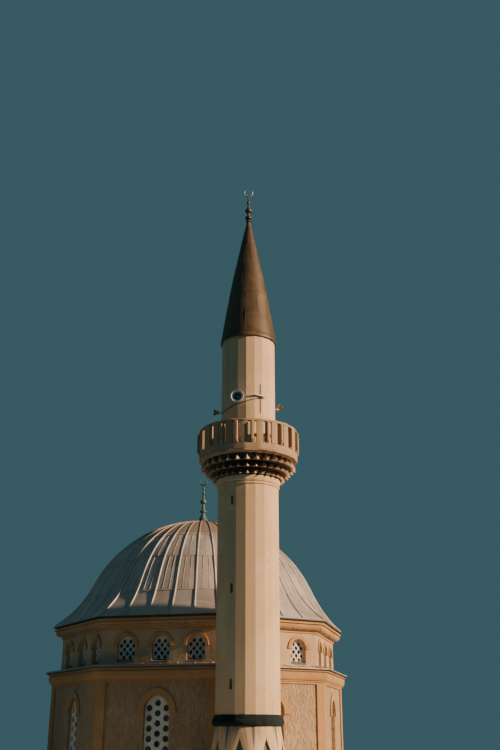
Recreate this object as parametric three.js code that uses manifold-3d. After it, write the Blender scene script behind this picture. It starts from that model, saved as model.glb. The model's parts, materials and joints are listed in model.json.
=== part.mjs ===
// A small mosque: an octagonal prayer hall, a windowed drum, a lead dome and one balcony minaret.
// Millimetres, +Z up. The origin is on the dome's axis, on the ground. Face 1 looks along -Y.
import * as THREE from "three";
import { ConvexGeometry } from "three/addons/geometries/ConvexGeometry.js";
import { mergeVertices } from "three/addons/utils/BufferGeometryUtils.js";
import Module from "manifold-3d";

const wasm = await Module();
wasm.setup();

// Driving dimensions: heights are above the ground, and an apothem runs from the axis to a flat side
const seam = 0.3; // gap left between pieces that rest against each other
const overcut = 100; // how far a cutting solid runs on past what it cuts
const overlap = 1; // how far two solids that are joined into one reach into each other
const arcSteps = 4; // straight steps in each side of a pointed arch
const sides = 8;
const innerApothem = 4250;
const floorTop = 150;
const hall = {
  apothem: 5020, top: 4120, pilaster: 310, recess: 50, plinth: 450, panelTop: 4055,
};
const hallWindow = {
  half: 435, sill: 900, spring: 3160, apex: 3642, setBack: 190, sheet: 70,
  hoodHalf: 655, hoodApex: 3875, hoodFoot: 3078, ear: 40,
};
const entrance = {
  face: 5, half: 700, spring: 2150, apex: 2750, setBack: 300, leaf: 70, stile: 110, relief: 18,
  railHeights: [240, 1050, 1950],
};
// The round band and the fascia of a cornice, as shares of its whole reach
const moulding = { bandEnd: 0.82, fasciaReach: 0.9, filletReach: 0.8, bandSteps: 5 };
const hallCornice = { apothem: 5210, top: 4530, fillet: 45, fascia: 90, edge: 35 };
const skirtRoof = { rise: 90, lip: 30, overhang: 20 };
const drum = { apothem: 4750, top: 5740 };
const drumWindow = {
  half: 310, sill: 4725, spring: 5203, apex: 5541, setBack: 140, sheet: 60,
  hoodHalf: 437, hoodApex: 5650, hoodFoot: 5200, ear: 0, hoodProud: 45, pitch: 1216, count: 3,
  boardHeight: 50, boardReach: 80, boardGap: 2,
};
const drumCornice = { apothem: 5095, top: 6140, fillet: 50, fascia: 90, edge: 35 };
const dome = {
  radius: 4600, centre: 5670, shell: 300, hollowFoot: 80, lip: 40, segments: 32, crownSteps: 8, hollowSteps: 6,
  skirtTop: 7800, skirtSteps: 6, flarePower: 2.5, cornerPower: 2, quarters: 4,
};
const domeFinial = {
  base: 200, flare: 330, stem: 26, ballHeights: [10776, 11167], ball: 131, moon: 160, moonHeight: 11960,
};
// Shares of a finial's own sizes: its neck, the flattened balls and the disc that the crescent leaves out
const finialForm = {
  neck: 0.45, ballSpread: 1.35, ballHeight: 0.8, ballSteps: 4, bite: 0.84, biteRise: 0.42, sides: 10,
};
const minaret = { face: 2, offWall: 1500, alongWall: -1913, sides: 20, bore: 700 };
const pedestal = {
  apothem: 1165, top: 1250, shoulderFoot: 2450, shoulder: 2675, shoulderRadius: 995, steps: 40,
  recess: 50, recessRim: 95,
};
const ring = { radius: 1100, top: 3008, steps: 6 };
const shaft = {
  radius: 1000, top: 9990, slitHalf: 50, slitHeight: 300, slitTurn: -18, slits: [3862, 6687, 9461],
};
const collar = { radius: 1060, top: 10190, lip: 1035, band: 50, neck: 1010, neckRise: 70 };
const corbels = {
  teeth: 30, tips: [10255, 10440, 10625], radii: [1185, 1395, 1560], tooth: 140, toothTip: 16, lip: 30,
  top: 10890,
};
const balcony = {
  radius: 1640, wall: 90, top: 11970, floorTop: 11060, slotFoot: 11190, slotHead: 11900,
  slotHalf: 42, slotOffset: 97, finHalf: 42, finProud: 90,
};
const lantern = {
  radius: 915, bore: 650, top: 15223, doorHalf: 300, doorTop: 12760, doorSide: 10, doorLeaf: 60,
};
const cone = { radius: 965, apex: 20153, swell: 45, tip: 60, eaves: 40, steps: 6 };
const coneFinial = {
  base: 62, flare: 130, stem: 24, ballHeights: [20330, 20640], ball: 126, moon: 190, moonHeight: 21410,
};
const horn = {
  side: 0, along: -85, height: 12900, mouth: 212, throat: 45, length: 190, driver: 72, driverLength: 80,
  arm: 45, armHalf: 24,
};
const sideLamp = { mouth: 110, throat: 58, length: 130, driver: 62, driverLength: 60, arm: 80, armHalf: 20 };
const lampPlaces = {
  left: { side: -4, height: 12675, rise: 0 },
  right: { side: 6, height: 12829, rise: 40 },
};
const wallLamp = { side: 2, height: 13010, half: 225, radius: 24, arm: 65, armHalf: 16, tilt: 6 };
// The cable's turns round the shaft, in degrees from +X, with its heights
const cable = {
  radius: 10, flats: 6, steps: 40,
  route: [
    [-41, 12945], [-57, 12910], [-69, 12866], [-77, 12820], [-86, 12786], [-98, 12751],
    [-106, 12728], [-118, 12650], [-134, 12600], [-146, 12590], [-157, 12618],
  ],
};
// A flared head's outline from its mouth back, as shares of the mouth's radius and of the length
const bell = {
  rim: 16, sheet: 10, outside: [[0.7, 0.3], [0.42, 0.65]], inside: [[0.42, 0.6], [0.7, 0.25]], end: 0.9,
};

// Finishes
const finish = (colour, roughness, metalness = 0) =>
  new THREE.MeshStandardMaterial({ color: colour, roughness, metalness });
const ochre = finish(0xb98455, 0.9);
const cream = finish(0xc9ad8e, 0.88);
const lead = finish(0xa38f88, 0.55, 0.4);
const brownLead = finish(0x6d5344, 0.6, 0.4);
const plaster = finish(0xb9b6ac, 0.9);
const darkStone = finish(0x3b3a36, 0.85);
const bronze = finish(0x5d6454, 0.5, 0.7);
const timber = finish(0x6b4a30, 0.75);
const greyPlastic = finish(0x9a948c, 0.6);
const blackRubber = finish(0x24211e, 0.8);

const halfTurn = Math.PI / sides;
const radians = THREE.MathUtils.degToRad;

// Solids

function solidOf(geometry) {
  const bare = geometry.clone();
  bare.deleteAttribute("normal");
  bare.deleteAttribute("uv");
  const merged = mergeVertices(bare, 1e-3);
  const vertProperties = new Float32Array(merged.attributes.position.array);
  const triVerts = new Uint32Array(merged.index.array);
  return new wasm.Manifold(new wasm.Mesh({ numProp: 3, vertProperties, triVerts }));
}

function geometryOf(solid) {
  const mesh = solid.getMesh();
  const geometry = new THREE.BufferGeometry();
  geometry.setAttribute("position", new THREE.BufferAttribute(new Float32Array(mesh.vertProperties), 3));
  geometry.setIndex(new THREE.BufferAttribute(new Uint32Array(mesh.triVerts), 1));
  return geometry;
}

function meshOf(name, shape, material) {
  const geometry = shape.isBufferGeometry ? shape : geometryOf(shape);
  const mesh = new THREE.Mesh(geometry, material);
  mesh.name = name;
  return mesh;
}

function box(width, depth, height, x, y, z) {
  return solidOf(new THREE.BoxGeometry(width, depth, height).translate(x, y, z + height / 2));
}

// A flat outline in X and Z, given thickness along +Y from yFront
function upright(outline, thickness, yFront, curveSegments = arcSteps) {
  const geometry = new THREE.ExtrudeGeometry(outline, { depth: thickness, bevelEnabled: false, curveSegments });
  return solidOf(geometry.rotateX(Math.PI / 2).translate(0, yFront + thickness, 0));
}

function plan(points, height, base) {
  const outline = new THREE.Shape(points.map(([x, y]) => new THREE.Vector2(x, y)));
  const geometry = new THREE.ExtrudeGeometry(outline, { depth: height, bevelEnabled: false });
  return solidOf(geometry.translate(0, 0, base));
}

// A closed profile of [radius, height] points turned about Z, with a corner at firstCorner
function turned(profile, count, firstCorner) {
  const points = profile.map(([radius, height]) => new THREE.Vector2(radius, height));
  const geometry = new THREE.LatheGeometry(points, count, firstCorner, 2 * Math.PI).rotateX(Math.PI / 2);
  return facingOut(mergeVertices(stripped(geometry), 1e-3));
}

function stripped(geometry) {
  geometry.deleteAttribute("normal");
  geometry.deleteAttribute("uv");
  return geometry;
}

function signedVolume(geometry) {
  const corners = [0, 1, 2].map(() => new THREE.Vector3());
  const position = geometry.attributes.position;
  const index = geometry.index.array;
  let total = 0;
  for (let i = 0; i < index.length; i += 3) {
    corners.forEach((corner, k) => corner.fromBufferAttribute(position, index[i + k]));
    total += corners[0].dot(corners[1].clone().cross(corners[2]));
  }
  return total / 6;
}

// Drops flat triangles at the poles and turns the faces outwards
function facingOut(geometry) {
  const index = geometry.index.array;
  const flip = signedVolume(geometry) < 0;
  const kept = [];
  for (let i = 0; i < index.length; i += 3) {
    const [a, b, c] = [index[i], index[i + 1], index[i + 2]];
    if (a === b || b === c || a === c) continue;
    kept.push(a, flip ? c : b, flip ? b : c);
  }
  geometry.setIndex(kept);
  return geometry;
}

function eightSided(profile) {
  const corners = profile.map(([apothem, height]) => [apothem / Math.cos(halfTurn), height]);
  return turned(corners, sides, halfTurn);
}

const minaretCorner = radians(180 / minaret.sides);
const twentySided = (profile) => turned(profile, minaret.sides, minaretCorner);

function arcPoints(centreX, centreY, radius, from, to, steps) {
  return Array.from({ length: steps + 1 }, (_, i) => {
    const angle = from + ((to - from) * i) / steps;
    return [centreX + radius * Math.cos(angle), centreY + radius * Math.sin(angle)];
  });
}

// A pointed arch with two centres, from its foot up to the apex
function archOutline({ half, foot, spring, apex }) {
  const rise = apex - spring;
  const radius = (half ** 2 + rise ** 2) / (2 * half);
  const sweep = Math.atan2(rise, radius - half);
  const outline = new THREE.Shape();
  outline.moveTo(-half, foot);
  outline.lineTo(half, foot);
  outline.lineTo(half, spring);
  outline.absarc(half - radius, spring, radius, 0, sweep, false);
  outline.absarc(radius - half, spring, radius, Math.PI - sweep, Math.PI, false);
  return outline;
}

const opening = (window) => archOutline({ ...window, foot: window.sill });

// The raised band round a window's head, with a short return at each foot
function hoodSolid(window, thickness, yFront) {
  const { hoodHalf: half, hoodFoot: foot, hoodApex: apex, spring, ear } = window;
  const band = upright(archOutline({ half, foot, spring, apex }), thickness, yFront);
  if (!ear) return band;
  return band.add(box(2 * (half + ear), thickness, ear * 2, 0, yFront + thickness / 2, foot));
}

// Octagon walls: each is drawn as face 1, with mitred ends, and its group turns it into place

function wallBlock(apothem, base, top) {
  const end = seam / 2 / Math.cos(halfTurn);
  const outer = apothem * Math.tan(halfTurn) - end;
  const inner = innerApothem * Math.tan(halfTurn) - end;
  const corners = [[-outer, -apothem], [outer, -apothem], [inner, -innerApothem], [-inner, -innerApothem]];
  return plan(corners, top - base, base);
}

const wallDepth = (apothem) => apothem - innerApothem;

function hallWall(number) {
  const isEntrance = number === entrance.face;
  const halfPanel = hall.apothem * Math.tan(halfTurn) - hall.pilaster;
  const { apothem, recess } = hall;
  const throughY = -apothem - overcut;
  const throughDepth = wallDepth(apothem) + 2 * overcut;
  const panel = box(2 * halfPanel, 2 * recess, hall.panelTop - hall.plinth, 0, -apothem, hall.plinth);
  const doorway = { ...entrance, sill: -overlap };
  const hole = upright(opening(isEntrance ? doorway : hallWindow), throughDepth, throughY);
  const raised = isEntrance ? hole : hoodSolid(hallWindow, 4 * recess, -apothem - 2 * recess);
  return wallBlock(apothem, 0, hall.top).subtract(panel.subtract(raised)).subtract(hole);
}

// An arch set a gap inside another: its point drops more than its sides move in
function smaller(window, gap) {
  return { ...window, half: window.half - gap, sill: window.sill + gap, apex: window.apex - gap * 1.5 };
}

function hallScreen() {
  const { setBack, sheet } = hallWindow;
  return upright(opening(smaller(hallWindow, seam)), sheet, -hall.apothem + setBack);
}

// Two closed leaves with raised frames, made as one piece
function entranceDoor() {
  const { half, setBack, leaf, stile, relief, railHeights } = entrance;
  const yFront = -hall.apothem + setBack;
  const doorway = smaller({ ...entrance, sill: floorTop }, seam);
  const board = upright(opening(doorway), leaf, yFront);
  const panelHalf = (half - 3 * stile) / 2;
  let sunk = null;
  for (const side of [-1, 1]) {
    for (let i = 0; i + 1 < railHeights.length; i += 1) {
      const foot = railHeights[i] + stile / 2;
      const height = railHeights[i + 1] - railHeights[i] - stile;
      const centre = side * (half / 2 - stile / 4);
      const panel = box(2 * panelHalf, 2 * relief, height, centre, yFront, foot);
      sunk = sunk ? sunk.add(panel) : panel;
    }
  }
  return board.subtract(sunk);
}

const windowPlaces = Array.from(
  { length: drumWindow.count },
  (_, i) => (i - (drumWindow.count - 1) / 2) * drumWindow.pitch,
);

function drumWall() {
  const { apothem, top } = drum;
  const { half, hoodProud, setBack, sill, boardHeight } = drumWindow;
  const base = hallCornice.top + seam;
  const throughY = -apothem - 2 * hoodProud;
  let wall = wallBlock(apothem, base, top);
  for (const x of windowPlaces) {
    const hood = hoodSolid(drumWindow, hoodProud * 2, -apothem - hoodProud);
    wall = wall.add(hood.translate([x, 0, 0]));
  }
  for (const x of windowPlaces) {
    const hole = upright(opening(drumWindow), wallDepth(apothem) + 4 * hoodProud, throughY);
    const shelfDepth = wallDepth(apothem) - setBack;
    const shelfMiddle = -innerApothem - shelfDepth / 2 + overlap / 2;
    const shelf = box(2 * half, shelfDepth + overlap, boardHeight, x, shelfMiddle, sill - boardHeight);
    wall = wall.subtract(hole.translate([x, 0, 0])).subtract(shelf);
  }
  return wall;
}

// Three screens that stand on one board along the inside of the wall
function drumScreens() {
  const { half, setBack, sheet, sill, boardHeight, boardReach, boardGap } = drumWindow;
  const yFront = -drum.apothem + setBack + seam;
  const boardBack = -innerApothem + boardReach;
  const boardHalf = (innerApothem - boardReach) * Math.tan(halfTurn) - boardGap;
  const foot = sill - boardHeight + seam;
  const height = boardHeight - 2 * seam;
  const reach = boardReach - seam;
  let solid = box(2 * boardHalf, reach, height, 0, boardBack - reach / 2, foot);
  for (const x of windowPlaces) {
    const tongueDepth = boardBack - yFront;
    const tongue = box(2 * (half - seam), tongueDepth, height, x, yFront + tongueDepth / 2, foot);
    const screen = upright(opening({ ...smaller(drumWindow, seam), sill: foot + overlap }), sheet, yFront);
    solid = solid.add(tongue).add(screen.translate([x, 0, 0]));
  }
  return solid;
}

// Octagon rings and the dome

function floorSlab() {
  const apothem = innerApothem - seam;
  return eightSided([[0, 0], [apothem, 0], [apothem, floorTop], [0, floorTop]]);
}

function corniceRing(wallApothem, base, size) {
  const { apothem, top, fillet, fascia, edge } = size;
  const bandFoot = base + fillet;
  const bandHead = top - fascia;
  const reach = apothem - wallApothem;
  const start = wallApothem + fillet * moulding.filletReach;
  const end = wallApothem + reach * moulding.bandEnd;
  const fasciaApothem = wallApothem + reach * moulding.fasciaReach;
  const band = Array.from({ length: moulding.bandSteps + 1 }, (_, i) => {
    const angle = (Math.PI / 2) * (i / moulding.bandSteps);
    return [start + (end - start) * Math.sin(angle), bandFoot + (bandHead - bandFoot) * (1 - Math.cos(angle))];
  });
  return eightSided([
    [innerApothem, base], [start, base], ...band,
    [fasciaApothem, bandHead], [fasciaApothem, top - edge],
    [apothem, top - edge], [apothem, top], [innerApothem, top], [innerApothem, base],
  ]);
}

function hallRoof() {
  const base = hallCornice.top + seam;
  const { rise, lip, overhang } = skirtRoof;
  const inner = drum.apothem + seam;
  const outer = hallCornice.apothem + overhang;
  return eightSided([[inner, base], [outer, base], [outer, base + lip], [inner, base + rise], [inner, base]]);
}

// The dome is round above, and its flared foot follows the octagon of the eaves
function domeShell() {
  const { radius, centre, shell, hollowFoot, lip, segments, crownSteps, hollowSteps } = dome;
  const { skirtTop, skirtSteps, flarePower, cornerPower } = dome;
  const base = drumCornice.top + seam;
  const foot = base + lip;
  const inside = radius - shell;
  const ballRadius = (height) => Math.sqrt(radius ** 2 - (height - centre) ** 2);
  const flare = drumCornice.apothem - ballRadius(foot);
  const below = (height) => THREE.MathUtils.clamp((skirtTop - height) / (skirtTop - foot), 0, 1);
  const skirt = Array.from({ length: skirtSteps + 1 }, (_, i) => {
    const height = foot + ((skirtTop - foot) * i) / skirtSteps;
    return [ballRadius(height) + flare * below(height) ** flarePower, height];
  });
  const crownStart = Math.asin((skirtTop - centre) / radius);
  const crown = arcPoints(0, centre, radius, crownStart, Math.PI / 2, crownSteps).slice(1, -1);
  const hollowStart = Math.asin((base + hollowFoot - centre) / inside);
  const hollow = arcPoints(0, centre, inside, Math.PI / 2, hollowStart, hollowSteps).slice(1);
  const innerFoot = hollow[hollow.length - 1][0];
  const outside = [[innerFoot, base], [drumCornice.apothem, base], ...skirt, ...crown, [0, centre + radius]];
  const geometry = turned([...outside, [0, centre + inside], ...hollow, [innerFoot, base]], segments, halfTurn);
  const position = geometry.attributes.position;
  for (let i = 0; i < position.count; i += 1) {
    const [x, y, z] = [position.getX(i), position.getY(i), position.getZ(i)];
    const isInside = Math.hypot(x, y, z - centre) < inside + overlap;
    if (isInside || z > skirtTop) continue;
    const turns = Math.atan2(y, x) / (2 * halfTurn);
    const fromMiddle = (turns - Math.round(turns)) * 2 * halfTurn;
    const scale = 1 + (1 / Math.cos(fromMiddle) - 1) * below(z) ** cornerPower;
    position.setXY(i, x * scale, y * scale);
  }
  return geometry;
}

// The shell is built in quarters, which meet under the ribs at four of the corners
function domeQuarters() {
  const shell = solidOf(domeShell());
  const reach = 2 * dome.radius;
  const middle = reach / 2 + seam / 2;
  return Array.from({ length: dome.quarters }, (_, i) => {
    const wedge = box(reach, reach, 2 * reach, middle, middle, 0);
    const turn = THREE.MathUtils.radToDeg(-Math.PI / 2 - halfTurn) + (360 * i) / dome.quarters;
    return shell.intersect(wedge.rotate([0, 0, turn]));
  });
}

// A stem with two balls and a crescent that opens upwards
function finial(size, foot) {
  const { base, flare, stem, ballHeights, ball, moon, moonHeight } = size;
  const { neck, ballSpread, ballHeight, ballSteps, bite, biteRise } = finialForm;
  const profile = [[0, foot], [base, foot]];
  profile.push([base * neck, foot + flare * neck], [stem, foot + flare]);
  for (const height of ballHeights) {
    const around = arcPoints(0, 0, 1, -ballSpread, ballSpread, ballSteps);
    profile.push(...around.map(([x, y]) => [Math.max(stem, x * ball), height + y * ball * ballHeight]));
  }
  const stemTop = moonHeight - moon + stem;
  profile.push([stem, stemTop], [0, stemTop]);
  const disc = (radius, thickness, height) =>
    solidOf(new THREE.CylinderGeometry(radius, radius, thickness, 20).translate(0, 0, height));
  const hollow = disc(moon * bite, 3 * stem, moonHeight + moon * biteRise);
  const crescent = disc(moon, 2 * stem, moonHeight).subtract(hollow);
  return solidOf(turned(profile, finialForm.sides, 0)).add(crescent);
}

// Minaret pieces are drawn about their own axis, with side 1 looking along -Y

const ringPoints = (count, radius, height, firstCorner) =>
  Array.from({ length: count }, (_, i) => {
    const angle = firstCorner + (2 * Math.PI * i) / count;
    return new THREE.Vector3(radius * Math.cos(angle), radius * Math.sin(angle), height);
  });

// Eight-sided below and round above: between them, eight sunk triangles stand on the flat sides
function pedestalBlock() {
  const { apothem, top, shoulderFoot, shoulder, shoulderRadius, steps, recess, recessRim } = pedestal;
  const cornerRadius = apothem / Math.cos(halfTurn);
  const half = apothem * Math.tan(halfTurn);
  const body = new ConvexGeometry([
    ...ringPoints(sides, cornerRadius, 0, halfTurn),
    ...ringPoints(sides, cornerRadius, top, halfTurn),
    ...ringPoints(steps, shoulderRadius, shoulderFoot, 0),
    ...ringPoints(steps, shoulderRadius, shoulder - seam, 0),
  ]);
  const lean = Math.atan2(apothem - shoulderRadius, shoulderFoot - top);
  const slope = Math.hypot(apothem - shoulderRadius, shoulderFoot - top);
  const triangle = new THREE.Shape([
    new THREE.Vector2(-half + recessRim, recessRim),
    new THREE.Vector2(half - recessRim, recessRim),
    new THREE.Vector2(0, slope - recessRim),
  ]);
  const sunk = upright(triangle, 2 * recess, -recess)
    .rotate([-THREE.MathUtils.radToDeg(lean), 0, 0])
    .translate([0, -apothem, top]);
  let solid = solidOf(body);
  for (let i = 0; i < sides; i += 1) solid = solid.subtract(sunk.rotate([0, 0, (360 * i) / sides]));
  const linkDepth = minaret.offWall - apothem - seam + overcut;
  const link = box(2 * half, linkDepth, top, 0, apothem + linkDepth / 2 - overcut, 0);
  return solid.add(link);
}

function ringBand() {
  const middle = (pedestal.shoulder + ring.top) / 2;
  const halfHeight = (ring.top - pedestal.shoulder) / 2;
  const bulge = ring.radius - shaft.radius;
  const round = arcPoints(0, 0, 1, -Math.PI / 2, Math.PI / 2, ring.steps);
  const outer = round.map(([x, y]) => [shaft.radius + bulge * x, middle + halfHeight * y]);
  return twentySided([[minaret.bore, pedestal.shoulder], ...outer, [minaret.bore, ring.top],
    [minaret.bore, pedestal.shoulder]]);
}

const tube = (inner, outer, base, top) =>
  twentySided([[inner, base], [outer, base], [outer, top], [inner, top], [inner, base]]);

function shaftTube() {
  const base = ring.top + seam;
  let solid = solidOf(tube(minaret.bore, shaft.radius, base, shaft.top));
  for (const height of shaft.slits) {
    const depth = 2 * (shaft.radius - minaret.bore) + 2 * overcut;
    const foot = height - shaft.slitHeight / 2;
    const slit = box(2 * shaft.slitHalf, depth, shaft.slitHeight, 0, -shaft.radius, foot);
    solid = solid.subtract(slit.rotate([0, 0, shaft.slitTurn]));
  }
  return solid;
}

function collarRing() {
  const base = shaft.top + seam;
  return twentySided([
    [minaret.bore, base], [collar.lip, base], [collar.lip, base + collar.band],
    [collar.neck, base + collar.neckRise], [collar.radius, collar.top],
    [minaret.bore, collar.top], [minaret.bore, base],
  ]);
}

// One tier is a ring whose lower edge is notched into pointed teeth, one at each corner
function corbelTier(index) {
  const { teeth, tips, radii, tooth, top, lip, toothTip } = corbels;
  const radius = radii[index];
  const foot = (index ? tips[index] : collar.top) + seam;
  const head = index + 1 < tips.length ? tips[index + 1] : top;
  const core = index ? radii[index - 1] - lip : collar.radius;
  const edge = tips[index] + seam;
  const profile = [
    [minaret.bore, foot], [core, foot], [core, edge + overlap], [radius - lip, edge + overlap],
    [radius, edge + tooth], [radius, head], [minaret.bore, head], [minaret.bore, foot],
  ];
  let solid = solidOf(turned(profile, teeth, Math.PI / teeth));
  const halfWidth = radius * Math.tan(Math.PI / teeth) - toothTip;
  const outline = new THREE.Shape([
    new THREE.Vector2(-halfWidth, edge - overlap),
    new THREE.Vector2(halfWidth, edge - overlap),
    new THREE.Vector2(0, edge + tooth),
  ]);
  const notch = upright(outline, radius - core + lip / 2, -radius - lip);
  for (let i = 0; i < teeth; i += 1) {
    solid = solid.subtract(notch.rotate([0, 0, (360 * i) / teeth]));
  }
  return solid.rotate([0, 0, 180 / teeth]);
}

function balconyFloor() {
  const outer = balcony.radius - balcony.wall - seam;
  return tube(minaret.bore, outer, corbels.top + seam, balcony.floorTop);
}

function balconyParapet() {
  const { radius, wall, top, slotFoot, slotHead, slotHalf, slotOffset, finHalf, finProud } = balcony;
  const flat = radius * Math.cos(minaretCorner);
  let solid = solidOf(tube(radius - wall, radius, corbels.top + seam, top));
  const slotHeight = slotHead - slotFoot;
  const slot = box(2 * slotHalf, 4 * wall, slotHeight, 0, -flat, slotFoot);
  const fin = box(2 * finHalf, 2 * finProud, slotHeight, 0, -flat, slotFoot);
  const pair = slot.translate([-slotOffset, 0, 0]).add(slot.translate([slotOffset, 0, 0]));
  for (let i = 0; i < minaret.sides; i += 1) {
    const turn = [0, 0, (360 * i) / minaret.sides];
    solid = solid.add(fin.rotate(turn)).subtract(pair.rotate(turn));
  }
  return solid;
}

function lanternTube() {
  const { radius, bore, top, doorHalf, doorTop, doorSide } = lantern;
  const tubeSolid = solidOf(tube(bore, radius, balcony.floorTop + seam, top));
  const height = doorTop - balcony.floorTop;
  const depth = 2 * (radius - bore) + overcut;
  const door = box(2 * doorHalf, depth, height, 0, -radius, balcony.floorTop);
  return tubeSolid.subtract(door.rotate([0, 0, (360 * doorSide) / minaret.sides]));
}

function balconyDoor() {
  const { radius, bore, doorHalf, doorTop, doorLeaf, doorSide } = lantern;
  const middle = (radius + bore) / 2;
  const foot = balcony.floorTop + seam;
  const height = doorTop - foot - seam;
  const leaf = box(2 * (doorHalf - seam), doorLeaf, height, 0, -middle, foot);
  return leaf.rotate([0, 0, (360 * doorSide) / minaret.sides]);
}

function spireCone() {
  const { radius, apex, swell, tip, eaves, steps } = cone;
  const base = lantern.top + seam;
  const slope = Array.from({ length: steps + 1 }, (_, i) => {
    const share = i / steps;
    const straight = radius + (tip - radius) * share;
    return [straight + swell * Math.sin(Math.PI * share), base + eaves + (apex - base - eaves) * share];
  });
  return twentySided([[0, base], [radius, base], ...slope, [0, apex]]);
}

// A flared horn or lamp on an arm: the arm ends on the wall at y = 0, and the mouth looks along -Y and up
function flaredHead({ mouth, throat, length, driver, driverLength, arm, armHalf }, rise) {
  const { rim, sheet, end } = bell;
  const outside = bell.outside.map(([across, along]) => [mouth * across, length * along]);
  const inside = bell.inside.map(([across, along]) => [mouth * across - sheet, length * along]);
  const back = length + driverLength;
  const profile = [
    [mouth, 0], [mouth, rim], ...outside, [throat, length],
    [driver, length + rim], [driver, back], [0, back], [0, length * end],
    [throat - 2 * sheet, length * end], ...inside, [mouth - sheet, 0], [mouth, 0],
  ];
  const body = solidOf(turned(profile, 16, 0)).rotate([-90, 0, 0]).translate([0, -length - driverLength, 0]);
  const tilted = body.rotate([-rise, 0, 0]).translate([0, -arm, 0]);
  const armLength = arm + driverLength / 2;
  return tilted.add(box(2 * armHalf, armLength, 2 * armHalf, 0, -armLength / 2, -armHalf));
}

// A round bar on an arm, whose right end hangs lower
function barLamp({ half, radius, arm, armHalf, tilt }) {
  const tube = new THREE.CylinderGeometry(radius, radius, 2 * half, 12);
  const bar = tube.rotateZ(Math.PI / 2).rotateY(radians(tilt)).translate(0, -arm, 0);
  return solidOf(bar).add(box(2 * armHalf, arm, 2 * armHalf, 0, -arm / 2, -armHalf));
}

// One cable clipped along the upper shaft, which it touches at the corners
function lampCable() {
  const { radius, flats, steps, route } = cable;
  const unrolled = new THREE.CatmullRomCurve3(route.map(([turn, height]) => new THREE.Vector3(turn, height, 0)));
  const turnStep = radians(Math.abs(route[0][0] - route[route.length - 1][0])) / steps;
  const reach = (lantern.radius + seam + radius) / Math.cos(turnStep / 2);
  const points = unrolled.getPoints(steps).map(({ x, y }) => {
    const angle = radians(x);
    return new THREE.Vector3(reach * Math.cos(angle), reach * Math.sin(angle), y);
  });
  const corners = arcPoints(0, 0, radius, 0, 2 * Math.PI, flats).slice(1);
  const section = new THREE.Shape(corners.map(([x, y]) => new THREE.Vector2(x, y)));
  const extrudePath = new THREE.CatmullRomCurve3(points);
  return solidOf(new THREE.ExtrudeGeometry(section, { steps, bevelEnabled: false, extrudePath }));
}

// The whole building

const mosque = new THREE.Group();

function faceGroup(number) {
  const group = new THREE.Group();
  group.rotation.z = (number - 1) * 2 * halfTurn;
  mosque.add(group);
  return group;
}

for (let number = 1; number <= sides; number += 1) {
  const face = faceGroup(number);
  face.add(meshOf(`hall_wall_${number}`, hallWall(number), ochre));
  if (number === entrance.face) face.add(meshOf("entrance_door", entranceDoor(), timber));
  else face.add(meshOf(`hall_screen_${number}`, hallScreen(), plaster));
  face.add(meshOf(`drum_wall_${number}`, drumWall(), ochre));
  face.add(meshOf(`drum_screens_${number}`, drumScreens(), plaster));
}

mosque.add(meshOf("floor_slab", floorSlab(), plaster));
mosque.add(meshOf("hall_cornice", corniceRing(hall.apothem, hall.top + seam, hallCornice), ochre));
mosque.add(meshOf("hall_roof", hallRoof(), lead));
mosque.add(meshOf("drum_cornice", corniceRing(drum.apothem, drum.top + seam, drumCornice), ochre));
domeQuarters().forEach((quarter, i) => mosque.add(meshOf(`dome_quarter_${i + 1}`, quarter, lead)));
mosque.add(meshOf("dome_finial", finial(domeFinial, dome.centre + dome.radius + seam), bronze));

const tower = new THREE.Group();
const towerTurn = (minaret.face - 1) * 2 * halfTurn;
const towerOut = hall.apothem + minaret.offWall;
tower.position.x = towerOut * Math.sin(towerTurn) + minaret.alongWall * Math.cos(towerTurn);
tower.position.y = -towerOut * Math.cos(towerTurn) + minaret.alongWall * Math.sin(towerTurn);
mosque.add(tower);

const pedestalMesh = meshOf("minaret_pedestal", pedestalBlock(), cream);
pedestalMesh.rotation.z = towerTurn;
tower.add(pedestalMesh);
tower.add(meshOf("minaret_ring", ringBand(), darkStone));
tower.add(meshOf("minaret_shaft", shaftTube(), cream));
tower.add(meshOf("minaret_collar", collarRing(), cream));
corbels.tips.forEach((_, index) => tower.add(meshOf(`corbel_tier_${index + 1}`, corbelTier(index), cream)));
tower.add(meshOf("balcony_floor", balconyFloor(), cream));
tower.add(meshOf("balcony_parapet", balconyParapet(), cream));
tower.add(meshOf("upper_shaft", lanternTube(), cream));
tower.add(meshOf("balcony_door", balconyDoor(), timber));
tower.add(meshOf("spire_cone", spireCone(), brownLead));
tower.add(meshOf("spire_finial", finial(coneFinial, cone.apex + seam), bronze));

// Fittings on the upper shaft sit on its flat sides, counted round from side 0, which looks along -Y
function onUpperShaft(mesh, side, along, height) {
  const angle = (side * 2 * Math.PI) / minaret.sides;
  const out = lantern.radius * Math.cos(minaretCorner) + seam;
  const across = new THREE.Vector3(along, -out, height).applyAxisAngle(new THREE.Vector3(0, 0, 1), angle);
  mesh.rotation.z = angle;
  mesh.position.copy(across);
  tower.add(mesh);
}

onUpperShaft(meshOf("horn_speaker", flaredHead(horn, 0), greyPlastic), horn.side, horn.along, horn.height);
for (const [name, { side, height, rise }] of Object.entries(lampPlaces)) {
  onUpperShaft(meshOf(`side_lamp_${name}`, flaredHead(sideLamp, rise), greyPlastic), side, 0, height);
}
onUpperShaft(meshOf("wall_lamp", barLamp(wallLamp), greyPlastic), wallLamp.side, 0, wallLamp.height);
tower.add(meshOf("lamp_cable", lampCable(), blackRubber));

export default mosque;
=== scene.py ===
import json
import math
import random

import bmesh
import bpy
from mathutils import Matrix, Vector, noise


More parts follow.
